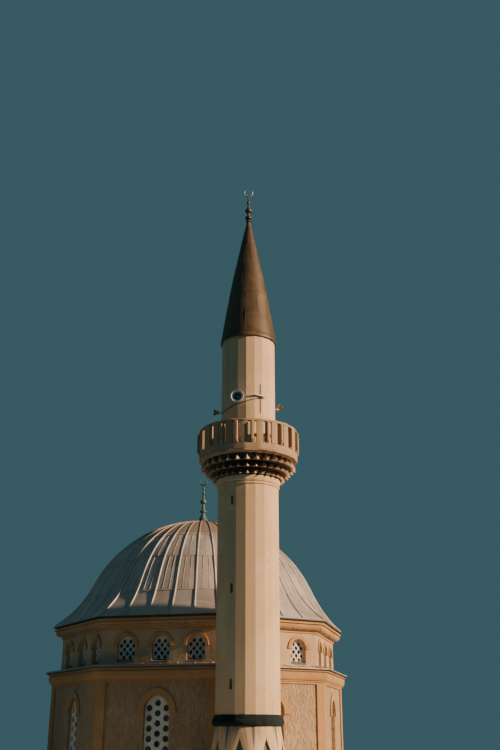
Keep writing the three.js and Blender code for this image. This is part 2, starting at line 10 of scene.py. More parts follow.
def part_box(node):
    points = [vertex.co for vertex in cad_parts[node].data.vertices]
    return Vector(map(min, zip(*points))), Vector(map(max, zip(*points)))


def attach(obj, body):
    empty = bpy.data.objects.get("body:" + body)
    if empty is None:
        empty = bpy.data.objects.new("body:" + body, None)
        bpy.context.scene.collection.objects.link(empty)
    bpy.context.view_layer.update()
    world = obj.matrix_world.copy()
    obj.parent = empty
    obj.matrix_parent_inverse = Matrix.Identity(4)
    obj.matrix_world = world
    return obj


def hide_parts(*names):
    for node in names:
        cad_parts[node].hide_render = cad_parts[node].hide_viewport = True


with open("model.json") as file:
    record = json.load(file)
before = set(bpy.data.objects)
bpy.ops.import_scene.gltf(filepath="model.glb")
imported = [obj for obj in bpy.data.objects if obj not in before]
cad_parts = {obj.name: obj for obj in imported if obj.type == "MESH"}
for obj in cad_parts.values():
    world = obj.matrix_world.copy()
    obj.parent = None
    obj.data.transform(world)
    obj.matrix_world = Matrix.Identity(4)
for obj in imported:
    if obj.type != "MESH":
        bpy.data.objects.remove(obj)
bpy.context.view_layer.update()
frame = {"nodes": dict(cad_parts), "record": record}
nodes = frame["nodes"]
print("frame loaded:", len(nodes), "CAD nodes")

octagonSides = 8
faceTurn = math.radians(45)
halfTurn = faceTurn / 2
shaftLow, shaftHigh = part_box("minaret_shaft")
tower = (Vector(shaftLow) + Vector(shaftHigh)) / 2
towerAxis = (tower.x, tower.y, 0)
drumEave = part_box("drum_cornice")[1][0]


# The camera stands on the ground to the front right and looks up; heading is degrees to the left of +Y
cameraPlace = {
    "position": (10.208, -35.169, 2.40), "heading": 13.271, "tilt": 21.271, "roll": 0.04,
    "lens": 44.57, "filmHeight": 36.0, "reach": 400.0,
}


def turned(degrees, axis):
    return Matrix.Rotation(math.radians(degrees), 4, axis)


def addToScene(name, data):
    made = bpy.data.objects.new(name, data)
    bpy.context.scene.collection.objects.link(made)
    return made


def makeCamera():
    place = cameraPlace
    data = bpy.data.cameras.new("camera")
    data.lens = place["lens"]
    data.sensor_fit = "VERTICAL"
    data.sensor_height = place["filmHeight"]
    data.clip_end = place["reach"]
    camera = addToScene("camera", data)
    look = turned(place["heading"], "Z") @ turned(90 + place["tilt"], "X") @ turned(place["roll"], "Z")
    camera.matrix_world = Matrix.Translation(place["position"]) @ look
    bpy.context.scene.camera = camera


makeCamera()
print("camera placed")


# What a node puts out. Signs between outputs and numbers add maths nodes
class Output:
    def __init__(self, tree, socket):
        self.tree = tree
        self.socket = socket

    def maths(self, operation, *others, clamp=False):
        values = dict(enumerate((self, *others)))
        return addNode(self.tree, "ShaderNodeMath", values, operation=operation, use_clamp=clamp)[0]

    def __add__(self, other):
        return self.maths("ADD", other)

    def __sub__(self, other):
        return self.maths("SUBTRACT", other)

    def __mul__(self, other):
        return self.maths("MULTIPLY", other)

    def __truediv__(self, other):
        return self.maths("DIVIDE", other)

    def __gt__(self, other):
        return self.maths("GREATER_THAN", other)

    def __lt__(self, other):
        return self.maths("LESS_THAN", other)

    # This output times a factor, and then more
    def timesPlus(self, factor, more):
        return self.maths("MULTIPLY_ADD", factor, more)


# Links an output, or each of a list of them, or sets a plain value
def feed(tree, socket, value):
    for one in value if isinstance(value, list) else [value]:
        if isinstance(one, Output):
            tree.links.new(one.socket, socket)
        else:
            socket.default_value = one


# Adds a node and gives its outputs, by number and by name
def addNode(tree, kind, inputs=None, **settings):
    made = tree.nodes.new(kind)
    for key, value in settings.items():
        setattr(made, key, value)
    for key, value in (inputs or {}).items():
        feed(tree, made.inputs[key], value)
    outputs = [Output(tree, socket) for socket in made.outputs]
    return {**{output.socket.name: output for output in outputs}, **dict(enumerate(outputs))}


def addGroup(tree, group, inputs):
    kind = "GeometryNodeGroup" if tree.bl_idname == "GeometryNodeTree" else "ShaderNodeGroup"
    return addNode(tree, kind, inputs, node_tree=group)


# Opens a tree. An input's first value gives its kind: a whole number, a number, a vector, or the kind's name
def newTree(name, kind, inputs):
    tree = bpy.data.node_groups.new(name, kind)
    kinds = {int: "Int", float: "Float", tuple: "Vector"}
    for label, value in inputs.items():
        socketKind = kinds.get(type(value), value)
        socket = tree.interface.new_socket(label, in_out="INPUT", socket_type="NodeSocket" + socketKind)
        if type(value) in kinds:
            socket.default_value = value
    return tree, addNode(tree, "NodeGroupInput")


# The first output of a geometry node
def shapeNode(tree, kind, inputs=None, **settings):
    return addNode(tree, "GeometryNode" + kind, inputs, **settings)[0]


def closeTree(tree, outputs):
    for label in outputs:
        kind = "Geometry" if label == "Geometry" else "Float"
        tree.interface.new_socket(label, in_out="OUTPUT", socket_type="NodeSocket" + kind)
    addNode(tree, "NodeGroupOutput", outputs)
    return tree


def closeShape(tree, geometry, material):
    finished = shapeNode(tree, "SetMaterial", {"Geometry": geometry, "Material": material})
    return closeTree(tree, {"Geometry": finished})


def vector(tree, **parts):
    return addNode(tree, "ShaderNodeCombineXYZ", parts)[0]


def between(tree, value, low, high):
    limits = {0: value, 1: low, 2: high}
    return addNode(tree, "ShaderNodeMapRange", limits, interpolation_type="SMOOTHSTEP")[0]


# Copies in a ring round a centre, but for the one to skip
def ringTree():
    tree, given = newTree("ringOfCopies", "GeometryNodeTree", {
        "Geometry": "Geometry", "Count": 8, "Skip": -1, "Centre": (0.0, 0.0, 0.0),
    })
    points = shapeNode(tree, "Points", {
        "Count": given["Count"], "Position": given["Centre"], "Radius": 0.01,
    })
    index = shapeNode(tree, "InputIndex")
    step = addNode(tree, "ShaderNodeMath", {0: 2 * math.pi, 1: given["Count"]}, operation="DIVIDE")[0]
    kept = addNode(tree, "FunctionNodeCompare", {
        2: index, 3: given["Skip"],
    }, data_type="INT", operation="NOT_EQUAL")[0]
    copies = shapeNode(tree, "InstanceOnPoints", {
        "Points": points, "Selection": kept, "Instance": given["Geometry"],
        "Rotation": vector(tree, Z=index * step),
    })
    return closeTree(tree, {"Geometry": shapeNode(tree, "RealizeInstances", {0: copies})})


# Copies in a row along X
def rowTree():
    tree, given = newTree("rowOfCopies", "GeometryNodeTree", {
        "Geometry": "Geometry", "Count": 3, "Pitch": 1.0,
    })
    start = (given["Count"] - 1.0) * given["Pitch"] * -0.5
    line = shapeNode(tree, "MeshLine", {
        "Count": given["Count"], "Start Location": vector(tree, X=start),
        "Offset": vector(tree, X=given["Pitch"]),
    })
    copies = shapeNode(tree, "InstanceOnPoints", {"Points": line, "Instance": given["Geometry"]})
    return closeTree(tree, {"Geometry": shapeNode(tree, "RealizeInstances", {0: copies})})


# Pushes every point a little, by a noise that depends on its place, so that no two copies are alike
def weatherTree():
    tree, given = newTree("weathered", "GeometryNodeTree", {
        "Geometry": "Geometry", "Waver": 0.01, "Scale": 1.6, "Seed": 3.0,
    })
    cloud = addNode(tree, "ShaderNodeTexNoise", {
        "Scale": given["Scale"], "W": given["Seed"], "Detail": 3.0,
    }, noise_dimensions="4D")[1]
    centred = addNode(tree, "ShaderNodeVectorMath", {0: cloud, 1: (0.5, 0.5, 0.5)}, operation="SUBTRACT")[0]
    amount = {0: centred, "Scale": given["Waver"]}
    offset = addNode(tree, "ShaderNodeVectorMath", amount, operation="SCALE")[0]
    bent = shapeNode(tree, "SetPosition", {"Geometry": given["Geometry"], "Offset": offset})
    return closeTree(tree, {"Geometry": bent})


ringOfCopies = ringTree()
rowOfCopies = rowTree()
weathered = weatherTree()


def givenTo(given, *labels):
    return {label: given[label] for label in labels}


# A row of copies, set round a centre, joined where they meet and then weathered
def repeatTree():
    tree, given = newTree("repeatedRound", "GeometryNodeTree", {
        "Geometry": "Geometry", "In Row": 1, "Pitch": 1.0, "Count": 8, "Skip": -1, "Centre": (0.0, 0.0, 0.0),
        "Waver": 0.0, "Scale": 3.0, "Seed": 1.0, "Material": "Material",
    })
    row = addGroup(tree, rowOfCopies, {**givenTo(given, "Geometry", "Pitch"), "Count": given["In Row"]})[0]
    ring = addGroup(tree, ringOfCopies, {"Geometry": row, **givenTo(given, "Count", "Skip", "Centre")})[0]
    joined = shapeNode(tree, "MergeByDistance", {"Geometry": ring, "Distance": 0.0002})
    worn = addGroup(tree, weathered, {"Geometry": joined, **givenTo(given, "Waver", "Scale", "Seed")})[0]
    return closeShape(tree, worn, given["Material"])


# Paths with a girth at each point are swept into round ribs and set round a centre
def ribTree():
    tree, given = newTree("sweptRibs", "GeometryNodeTree", {
        "Geometry": "Geometry", "Sides": 8, "Count": 8, "Centre": (0.0, 0.0, 0.0), "Waver": 0.01,
        "Seed": 3.0, "Material": "Material",
    })
    paths = shapeNode(tree, "MeshToCurve", {0: given["Geometry"]})
    girth = shapeNode(tree, "InputNamedAttribute", {"Name": "girth"}, data_type="FLOAT")
    sized = shapeNode(tree, "SetCurveRadius", {"Curve": paths, "Radius": girth})
    section = shapeNode(tree, "CurvePrimitiveCircle", {"Resolution": given["Sides"], "Radius": 1.0})
    swept = shapeNode(tree, "CurveToMesh", {
        "Curve": sized, "Profile Curve": section, "Fill Caps": True, "Scale": girth,
    })
    ring = addGroup(tree, ringOfCopies, {"Geometry": swept, **givenTo(given, "Count", "Centre")})[0]
    worn = addGroup(tree, weathered, {"Geometry": ring, **givenTo(given, "Waver", "Seed")})[0]
    return closeShape(tree, shapeNode(tree, "SetShadeSmooth", {0: worn}), given["Material"])


repeatedRound = repeatTree()
sweptRibs = ribTree()


# Shared effects for the finishes: each puts out masks and heights that change over the surface
def grainGroup():
    tree, given = newTree("fineGrain", "ShaderNodeTree", {"Vector": "Vector", "Scale": 20.0, "Coarse": 4.0})
    fine = addNode(tree, "ShaderNodeTexNoise", {**givenTo(given, "Vector", "Scale"), "Detail": 6.0})[0]
    coarse = addNode(tree, "ShaderNodeTexNoise", {
        "Vector": given["Vector"], "Scale": given["Coarse"], "Detail": 4.0,
    })[0]
    height = coarse.timesPlus(0.6, fine * 0.4)
    return closeTree(tree, {"Height": height, "Mask": between(tree, height, 0.38, 0.62)})


# Long drips down the walls where the stretch is small
def streakGroup():
    tree, given = newTree("rainStreaks", "ShaderNodeTree", {
        "Vector": "Vector", "Scale": 3.0, "Stretch": 0.12, "Low": 0.5, "High": 0.75,
    })
    squeeze = vector(tree, X=1.0, Y=1.0, Z=given["Stretch"])
    place = addNode(tree, "ShaderNodeVectorMath", {0: given["Vector"], 1: squeeze}, operation="MULTIPLY")[0]
    height = addNode(tree, "ShaderNodeTexNoise", {
        "Vector": place, "Scale": given["Scale"], "Detail": 5.0, "Roughness": 0.6, "Distortion": 0.25,
    })[0]
    return closeTree(tree, {"Mask": between(tree, height, given["Low"], given["High"]), "Height": height})


def blotchGroup():
    tree, given = newTree("blotches", "ShaderNodeTree", {
        "Vector": "Vector", "Scale": 0.8, "Low": 0.45, "High": 0.6,
    })
    height = addNode(tree, "ShaderNodeTexNoise", {
        **givenTo(given, "Vector", "Scale"), "Detail": 8.0, "Roughness": 0.62, "Distortion": 0.6,
    })[0]
    return closeTree(tree, {"Mask": between(tree, height, given["Low"], given["High"])})


# How far a point lies out from the axis, square to its side of the octagon, and its height
def octagonGroup():
    tree, given = newTree("octagonPlace", "ShaderNodeTree", {"Vector": "Vector"})
    parts = addNode(tree, "ShaderNodeSeparateXYZ", {0: given["Vector"]})
    turn = parts[1].maths("ARCTAN2", parts[0])
    offset = turn - (turn / faceTurn).maths("ROUND") * faceTurn
    reach = parts[0].timesPlus(parts[0], parts[1] * parts[1]).maths("SQRT")
    return closeTree(tree, {"Out": reach * offset.maths("COSINE"), "Height": parts[2]})


fineGrain = grainGroup()
rainStreaks = streakGroup()
blotches = blotchGroup()
octagonPlace = octagonGroup()


def effect(tree, group, place, **values):
    return addGroup(tree, group, {"Vector": place, **values})


# Mixes two colours by a share
def blend(tree, share, first, second):
    first, second = [(*tone, 1) if isinstance(tone, tuple) else tone for tone in (first, second)]
    return addNode(tree, "ShaderNodeMix", {0: share, 6: first, 7: second}, data_type="RGBA")[2]


# Lays tones over a colour one after the other, each by its own share
def layered(tree, colour, *layers):
    for share, tone in layers:
        colour = blend(tree, share, colour, tone)
    return colour


def bump(tree, height, strength, distance):
    return addNode(tree, "ShaderNodeBump", {"Height": height, "Strength": strength, "Distance": distance})[0]


# A recipe gives what goes into each of the shader's sockets
def newMaterial(name, recipe, **values):
    material = bpy.data.materials.new(name)
    material.use_nodes = True
    tree = material.node_tree
    place = addNode(tree, "ShaderNodeTexCoord")["Object"]
    shader = tree.nodes["Principled BSDF"]
    for label, value in recipe(tree, place, **values).items():
        feed(tree, shader.inputs[label], value)
    return material


# Ochre stucco: smooth on the strips, bands and mouldings, thrown rough in the sunk panels
ochreFinish = {
    "light": (0.53, 0.28, 0.115), "middle": (0.43, 0.215, 0.085), "dark": (0.23, 0.13, 0.070),
    "dust": (0.50, 0.36, 0.22), "wallLight": (0.60, 0.43, 0.295), "wallMiddle": (0.51, 0.355, 0.235),
    "wallShare": 0.65, "panelOut": (4.99, 4.98), "panelInside": (4.88, 4.90), "drumFoot": 4.60,
    "drumHead": 5.735, "drumOut": 4.756, "damp": 0.7, "dripAndLipShadowShare": 0.35, "dustShare": 0.12,
    "thrownShare": 0.30, "thrownRelief": 9.0, "dampShare": 0.7, "roughness": 0.93, "bump": (0.9, 0.016),
}


def ochreRecipe(tree, place):
    tones = ochreFinish
    spot = effect(tree, octagonPlace, place)
    out, height = spot["Out"], spot["Height"]
    grain = effect(tree, fineGrain, place, Scale=26.0, Coarse=5.0)
    thrown = effect(tree, rainStreaks, place, Scale=15.0, Stretch=0.35, Low=0.42, High=0.62)
    drips = effect(tree, rainStreaks, place, Scale=2.6, Stretch=0.12, Low=0.52, High=0.72)["Mask"]
    patches = effect(tree, blotches, place, Scale=0.55, Low=0.42, High=0.62)["Mask"]
    panel = between(tree, out, *tones["panelOut"]) * between(tree, out, *tones["panelInside"])
    drumWall = (height > tones["drumFoot"]) * (height < tones["drumHead"]) * (out < tones["drumOut"])
    isPlain = panel.maths("MAXIMUM", drumWall)
    damp = between(tree, height, tones["damp"], 0.0).maths("MULTIPLY", patches + 0.4, clamp=True)
    stucco = blend(tree, patches, tones["middle"], tones["light"])
    plain = blend(tree, patches, tones["wallMiddle"], tones["wallLight"])
    colour = layered(
        tree, stucco, (isPlain * tones["wallShare"], plain), (drips * tones["dripAndLipShadowShare"], tones["dark"]),
        (grain["Mask"] * tones["dustShare"], tones["dust"]),
        (thrown["Mask"] * panel * tones["thrownShare"], tones["dark"]),
        (damp * tones["dampShare"], tones["dark"]),
    )
    relief = thrown["Height"].timesPlus(panel * tones["thrownRelief"], grain["Height"])
    normal = bump(tree, relief, *tones["bump"])
    return {"Base Color": colour, "Roughness": tones["roughness"], "Normal": normal}


# Cream render on the minaret: soft stains, thin rain streaks, a slightly different tone on each flat, and
# painted shade in the corbel niches
creamFinish = {
    "light": (0.80, 0.52, 0.305), "middle": (0.68, 0.43, 0.245), "dark": (0.32, 0.23, 0.16),
    "grime": (0.13, 0.12, 0.09), "recessShade": (0.050, 0.042, 0.035), "soiled": (0.37, 0.225, 0.13), "flats": 20,
    "storeysPerMetre": 0.23, "flatShare": 0.14, "dripAndLipShadowShare": 0.35, "niche": (0.25, 0.85), "nicheShadeShare": 0.95,
    "lightShare": 0.10, "roughness": 0.88, "bump": (0.45, 0.006),
}


def fromTower(tree, place):
    return addNode(tree, "ShaderNodeVectorMath", {0: place, 1: towerAxis}, operation="SUBTRACT")[0]


def creamRecipe(tree, place, grimeLow=0.60, grimeAmount=0.35, soiled=0.0):
    tones = creamFinish
    parts = addNode(tree, "ShaderNodeSeparateXYZ", {0: fromTower(tree, place)})
    flat = (parts[1].maths("ARCTAN2", parts[0]) * (tones["flats"] / (2 * math.pi))).maths("ROUND")
    storey = (parts[2] * tones["storeysPerMetre"]).maths("ROUND")
    flatTone = addNode(tree, "ShaderNodeTexWhiteNoise", {"Vector": vector(tree, X=flat, Y=storey)})[0]
    grain = effect(tree, fineGrain, place, Scale=30.0, Coarse=6.0)
    drips = effect(tree, rainStreaks, place, Scale=3.4, Stretch=0.07, Low=0.50, High=0.74)["Mask"]
    grime = effect(tree, blotches, place, Scale=1.3, Low=grimeLow, High=0.78)["Mask"]
    patches = effect(tree, blotches, place, Scale=0.5, Low=0.40, High=0.62)["Mask"]
    niche = addNode(tree, "ShaderNodeAttribute", attribute_name="niche")["Fac"]
    render = [
        tuple(clean + (dirty - clean) * soiled for clean, dirty in zip(tones[key], tones["soiled"]))
        for key in ("middle", "light")
    ]
    colour = layered(
        tree, blend(tree, patches, *render), (flatTone * tones["flatShare"], tones["dark"]),
        (drips * tones["dripAndLipShadowShare"], tones["dark"]), (grime * grimeAmount, tones["grime"]),
        # Painted shade: near black in the corbel niches, deeper points darker
        (between(tree, niche, *tones["niche"]) * tones["nicheShadeShare"], tones["recessShade"]),
        (grain["Mask"] * tones["lightShare"], tones["light"]),
    )
    normal = bump(tree, grain["Height"], *tones["bump"])
    return {"Base Color": colour, "Roughness": tones["roughness"], "Normal": normal}


# The pedestal's render, with painted shade in the sunk triangles and dark teal streaks just below the ring
pedestalShadeAndStreaks = {
    "out": 1.165, "from": 1.25, "lean": 0.1417, "depth": (0.012, 0.034), "runs": (2.15, 2.68),
    "colour": (0.045, 0.095, 0.095), "sunkShadeShare": 0.9, "underShare": 0.55,
}


def pedestalRecipe(tree, place):
    recessShade = pedestalShadeAndStreaks
    sockets = creamRecipe(tree, place)
    spot = effect(tree, octagonPlace, fromTower(tree, place))
    climb = spot["Height"] - recessShade["from"]
    depth = climb * -recessShade["lean"] + recessShade["out"] - spot["Out"]
    # Painted shade: dark teal in the sunk triangles, deeper points darker
    sunkShadeMask = between(tree, depth, *recessShade["depth"]) * (climb > 0.0)
    runs = effect(tree, rainStreaks, place, Scale=5.0, Stretch=0.10, Low=0.42, High=0.60)["Mask"]
    under = runs * between(tree, spot["Height"], *recessShade["runs"])
    share = (sunkShadeMask * recessShade["sunkShadeShare"]).maths("MAXIMUM", under * recessShade["underShare"])
    sockets["Base Color"] = blend(tree, share, sockets["Base Color"], recessShade["colour"])
    return sockets


# Sheet lead: pinkish grey, each sheet a little different, dark runs with painted shade on one side of each
# rib, a painted shadow band low on the skirt and eave lips, and a brown crown
leadFinish = {
    "light": (0.58, 0.48, 0.44), "middle": (0.47, 0.39, 0.36), "brown": (0.32, 0.195, 0.125),
    "runAndRibShade": (0.10, 0.13, 0.12), "crown": (9.25, 9.45), "bays": 40, "lipShadow": (0.035, 0.038, 0.036),
    "skirtLipShadow": (4.554, 4.534), "eaveLipShadow": (6.184, 6.174), "eaveFoot": 5.5, "sheetShare": 0.28,
    "crownShare": 0.80, "runAndRibShadeShare": 0.75, "lightShare": 0.12, "dripAndLipShadowShare": 0.92, "roughness": (0.14, 0.48),
    "metallic": 0.25, "bump": (0.35, 0.008),
}


def leadRecipe(tree, place):
    tones = leadFinish
    parts = addNode(tree, "ShaderNodeSeparateXYZ", {0: place})
    height = parts[2]
    bay = parts[1].maths("ARCTAN2", parts[0]) * (tones["bays"] / (2 * math.pi))
    # Partly streaks, partly painted shade: the dark runs gather on one side of each rib
    ribShadeSide = between(tree, (bay + 100.5).maths("FRACT"), 0.55, 0.95).timesPlus(0.8, 0.2)
    tone = addNode(tree, "ShaderNodeAttribute", attribute_name="sheetTone")["Fac"]
    runs = addNode(tree, "ShaderNodeTexNoise", {
        "Vector": vector(tree, X=bay, Y=tone * 3.0, Z=height * 0.35), "Scale": 2.2, "Detail": 5.0,
        "Roughness": 0.65,
    })[0]
    runsAndRibShade = between(tree, runs, 0.52, 0.72) * ribShadeSide * tones["runAndRibShadeShare"]
    grain = effect(tree, fineGrain, place, Scale=34.0, Coarse=5.0)
    patches = effect(tree, blotches, place, Scale=1.1, Low=0.40, High=0.64)["Mask"]
    crown = between(tree, height, *tones["crown"])
    # Painted shadow: a near-black band low on the lips of the hall skirt and the dome's eave
    eaveLipShadow = between(tree, height, *tones["eaveLipShadow"]) * (height > tones["eaveFoot"])
    lipShadowMask = between(tree, height, *tones["skirtLipShadow"]).maths("MAXIMUM", eaveLipShadow)
    colour = layered(
        tree, blend(tree, patches, tones["middle"], tones["light"]),
        (tone * tones["sheetShare"], tones["brown"]), (crown * tones["crownShare"], tones["brown"]),
        (runsAndRibShade, tones["runAndRibShade"]), (grain["Mask"] * tones["lightShare"], tones["light"]),
        (lipShadowMask * tones["dripAndLipShadowShare"], tones["lipShadow"]),
    )
    return {
        "Base Color": colour, "Roughness": patches.timesPlus(*tones["roughness"]),
        "Metallic": tones["metallic"], "Normal": bump(tree, grain["Height"], *tones["bump"]),
    }


# The spire's lead has weathered to brown, in cooler and warmer patches
coneFinish = {
    "middle": (0.092, 0.053, 0.027), "warm": (0.142, 0.074, 0.029), "dark": (0.040, 0.034, 0.027),
    "dripAndLipShadowShare": 0.5, "warmShare": 0.14, "roughness": (0.15, 0.5), "metallic": 0.2, "bump": (0.5, 0.008),
}


def coneRecipe(tree, place):
    tones = coneFinish
    grain = effect(tree, fineGrain, place, Scale=30.0, Coarse=4.0)
    drips = effect(tree, rainStreaks, place, Scale=4.0, Stretch=0.10, Low=0.46, High=0.70)["Mask"]
    patches = effect(tree, blotches, place, Scale=1.2, Low=0.42, High=0.62)["Mask"]
    colour = layered(
        tree, blend(tree, patches, tones["middle"], tones["warm"]),
        (drips * tones["dripAndLipShadowShare"], tones["dark"]), (grain["Mask"] * tones["warmShare"], tones["warm"]),
    )
    return {
        "Base Color": colour, "Roughness": patches.timesPlus(*tones["roughness"]),
        "Metallic": tones["metallic"], "Normal": bump(tree, grain["Height"], *tones["bump"]),
    }


# Dusty glass, dark because the rooms behind it are
glassFinish = {"clean": (0.030, 0.036, 0.036), "dusty": (0.10, 0.10, 0.09), "roughness": (0.35, 0.12)}


def glassRecipe(tree, place):
    dust = effect(tree, blotches, place, Scale=2.5, Low=0.35, High=0.70)["Mask"]
    colour = blend(tree, dust, glassFinish["clean"], glassFinish["dusty"])
    return {"Base Color": colour, "Roughness": dust.timesPlus(*glassFinish["roughness"])}


# One recipe for the plainer finishes: two tones in blotches, streaks of a third, and a fine relief
plainScales = {
    "fine": 14, "coarse": 2, "drips": 1.6, "patches": 0.6, "lightShare": 0.15, "reliefDepth": 0.006,
}


def plainRecipe(tree, place, tones, roughness, metallic=0.0, scale=3.0, streak=0.3, relief=0.4):
    light, middle, dark = tones
    form = plainScales
    grain = effect(tree, fineGrain, place, Scale=scale * form["fine"], Coarse=scale * form["coarse"])
    drips = effect(tree, rainStreaks, place, Scale=scale * form["drips"], Stretch=0.15)["Mask"]
    patches = effect(tree, blotches, place, Scale=scale * form["patches"])["Mask"]
    colour = layered(
        tree, blend(tree, patches, middle, light), (drips * streak, dark),
        (grain["Mask"] * form["lightShare"], light),
    )
    return {
        "Base Color": colour, "Roughness": roughness, "Metallic": metallic,
        "Normal": bump(tree, grain["Height"], relief, form["reliefDepth"]),
    }


# Each slot's name, its light, middle and dark tones, its roughness, and what differs from the usual
plainFinishes = {
    "screen_plaster": ("screenPlaster", (0.78, 0.72, 0.64), (0.66, 0.61, 0.54), (0.30, 0.28, 0.25), 0.9, {}),
    "mortar": (
        "windowMortar", (0.20, 0.16, 0.12), (0.14, 0.11, 0.085), (0.06, 0.05, 0.04), 0.95, {"relief": 0.8},
    ),
    # The ring's stone: partly its own dark colour, partly painted shade, taken near black and tinted teal
    "dark_stone": (
        "darkStone", (0.010, 0.018, 0.020), (0.006, 0.011, 0.013), (0.003, 0.005, 0.006), 1.0,
        {"relief": 0.7},
    ),
    "finial_bronze": (
        "greenBronze", (0.10, 0.09, 0.08), (0.060, 0.050, 0.045), (0.02, 0.018, 0.016), 0.45,
        {"metallic": 0.35, "scale": 9.0, "streak": 0.5},
    ),
    "verdigris": (
        "verdigris", (0.125, 0.165, 0.145), (0.070, 0.095, 0.085), (0.030, 0.032, 0.026), 0.6,
        {"metallic": 0.2, "scale": 9.0, "streak": 0.5},
    ),
    "worn_silver": (
        "wornSilver", (0.62, 0.58, 0.60), (0.48, 0.45, 0.48), (0.20, 0.18, 0.18), 0.4,
        {"metallic": 0.4, "scale": 9.0, "streak": 0.4},
    ),
    "door_timber": (
        "oiledTimber", (0.30, 0.17, 0.09), (0.21, 0.12, 0.06), (0.08, 0.045, 0.025), 0.6,
        {"scale": 6.0, "streak": 0.7},
    ),
    "floor_stone": ("pavingStone", (0.52, 0.49, 0.43), (0.43, 0.40, 0.35), (0.25, 0.23, 0.20), 0.85, {}),
    "fitting_grey": (
        "greyFitting", (0.62, 0.60, 0.56), (0.50, 0.48, 0.45), (0.22, 0.17, 0.12), 0.5,
        {"scale": 12.0, "streak": 0.4},
    ),
    "pale_fitting": (
        "paleFitting", (0.82, 0.80, 0.76), (0.74, 0.72, 0.68), (0.36, 0.28, 0.20), 0.45,
        {"scale": 12.0, "streak": 0.4},
    ),
    "brown_fitting": (
        "brownFitting", (0.36, 0.20, 0.11), (0.27, 0.15, 0.08), (0.08, 0.06, 0.045), 0.5,
        {"scale": 12.0, "streak": 0.5},
    ),
    "dark_fitting": (
        "tealGreyFitting", (0.075, 0.095, 0.10), (0.045, 0.060, 0.066), (0.02, 0.025, 0.025), 0.5,
        {"scale": 12.0, "streak": 0.4},
    ),
    "iron_fitting": (
        "blackIron", (0.075, 0.070, 0.065), (0.045, 0.042, 0.040), (0.12, 0.06, 0.03), 0.5,
        {"metallic": 0.6, "scale": 14.0, "streak": 0.4},
    ),
    "cable_black": (
        "blackCable", (0.060, 0.050, 0.042), (0.032, 0.028, 0.025), (0.10, 0.07, 0.05), 0.7,
        {"scale": 14.0, "streak": 0.4},
    ),
    "floor_grey": ("floorGrey", (0.74, 0.72, 0.69), (0.70, 0.68, 0.65), (0.60, 0.58, 0.55), 0.9, {}),
}
carved = {"grimeLow": 0.46, "grimeAmount": 0.55, "soiled": 0.35}
balcony = {"grimeLow": 0.48, "grimeAmount": 0.55, "soiled": 0.85}
finishes = {
    "ochre_plaster": newMaterial("ochreStucco", ochreRecipe),
    "window_glass": newMaterial("dustyGlass", glassRecipe),
    "cream_render": newMaterial("creamRender", creamRecipe),
    "carved_render": newMaterial("carvedRender", creamRecipe, **carved),
    "balcony_render": newMaterial("balconyRender", creamRecipe, **balcony),
    "pedestal_render": newMaterial("pedestalRender", pedestalRecipe),
    "lead_sheet": newMaterial("sheetLead", leadRecipe),
    "cone_lead": newMaterial("spireLead", coneRecipe),
}
for slot, (name, light, middle, dark, roughness, own) in plainFinishes.items():
    tones = (light, middle, dark)
    finishes[slot] = newMaterial(name, plainRecipe, tones=tones, roughness=roughness, **own)
print("finishes made:", len(finishes))

nodeSlots = {part["node"]: part["material_slot"] for part in frame["record"]["subparts"]}
ownFinish = {"minaret_pedestal": "pedestal_render"}
for name, node in nodes.items():
    node.data.materials.clear()
    node.data.materials.append(finishes[ownFinish.get(name, nodeSlots[name])])


# Gives a finished mesh its material, by its slot or its own finish, sets it under the root, and hides the
# nodes that it stands for
def placePiece(name, mesh, slot, replaced=(), smooth=None, finish=None):
    material = finishes[finish or slot]
    if smooth is not None:
        mesh.shade_smooth()
        mesh.set_sharp_from_angle(angle=math.radians(smooth))
    if material.name not in mesh.materials:
        mesh.materials.clear()
        mesh.materials.append(material)
    piece = addToScene(name, mesh)
    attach(piece, "root")
    if replaced:
        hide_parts(*replaced)


def builtMesh(name, build):
    mesh = bpy.data.meshes.new(name)
    shape = bmesh.new()
    build(shape)
    bmesh.ops.recalc_face_normals(shape, faces=shape.faces)
    shape.to_mesh(mesh)
    shape.free()
    return mesh


# Each path is a list of points and a list of their girths
def pathMesh(paths):
    points, edges, girths = [], [], []
    for route, widths in paths:
        first = len(points)
        points += route
        girths += widths
        edges += [(first + i, first + i + 1) for i in range(len(route) - 1)]
    mesh = bpy.data.meshes.new("paths")
    mesh.from_pydata(points, edges, [])
    mesh.attributes.new("girth", "FLOAT", "POINT").data.foreach_set("value", girths)
    return mesh


def grownMesh(name, base, tree, values):
    holder = addToScene(name + "_grown", base)
    modifier = holder.modifiers.new("grow", "NODES")
    modifier.node_group = tree
    sockets = {item.name: item.identifier for item in tree.interface.items_tree if item.in_out == "INPUT"}
    for label, value in values.items():
        modifier[sockets[label]] = value
    shown = holder.evaluated_get(bpy.context.evaluated_depsgraph_get())
    mesh = bpy.data.meshes.new_from_object(shown)
    mesh.name = name
    bpy.data.objects.remove(holder)
    return mesh


def placeBuilt(name, build, slot, at=None, **rest):
    mesh = builtMesh(name, build)
    if at is not None:
        mesh.transform(at)
    placePiece(name, mesh, slot, **rest)


def placeGrown(name, base, tree, values, slot, finish=None, **rest):
    mesh = grownMesh(name, base, tree, {**values, "Material": finishes[finish or slot]})
    placePiece(name, mesh, slot, finish=finish, **rest)


# The steps from 0 to 1
def shares(count):
    return [i / count for i in range(count + 1)]


def mixed(low, high, share):
    return low + (high - low) * share


# Faces between two rings of corners; where corners coincide, they count once
def bridge(shape, low, high, openSides=()):
    count = len(low)
    for i in range(count):
        j = (i + 1) % count
        corners = [low[i], low[j], high[j], high[i]]
        corners = [corner for k, corner in enumerate(corners) if corner not in corners[:k]]
        if i not in openSides and len(corners) > 2:
            shape.faces.new(corners)


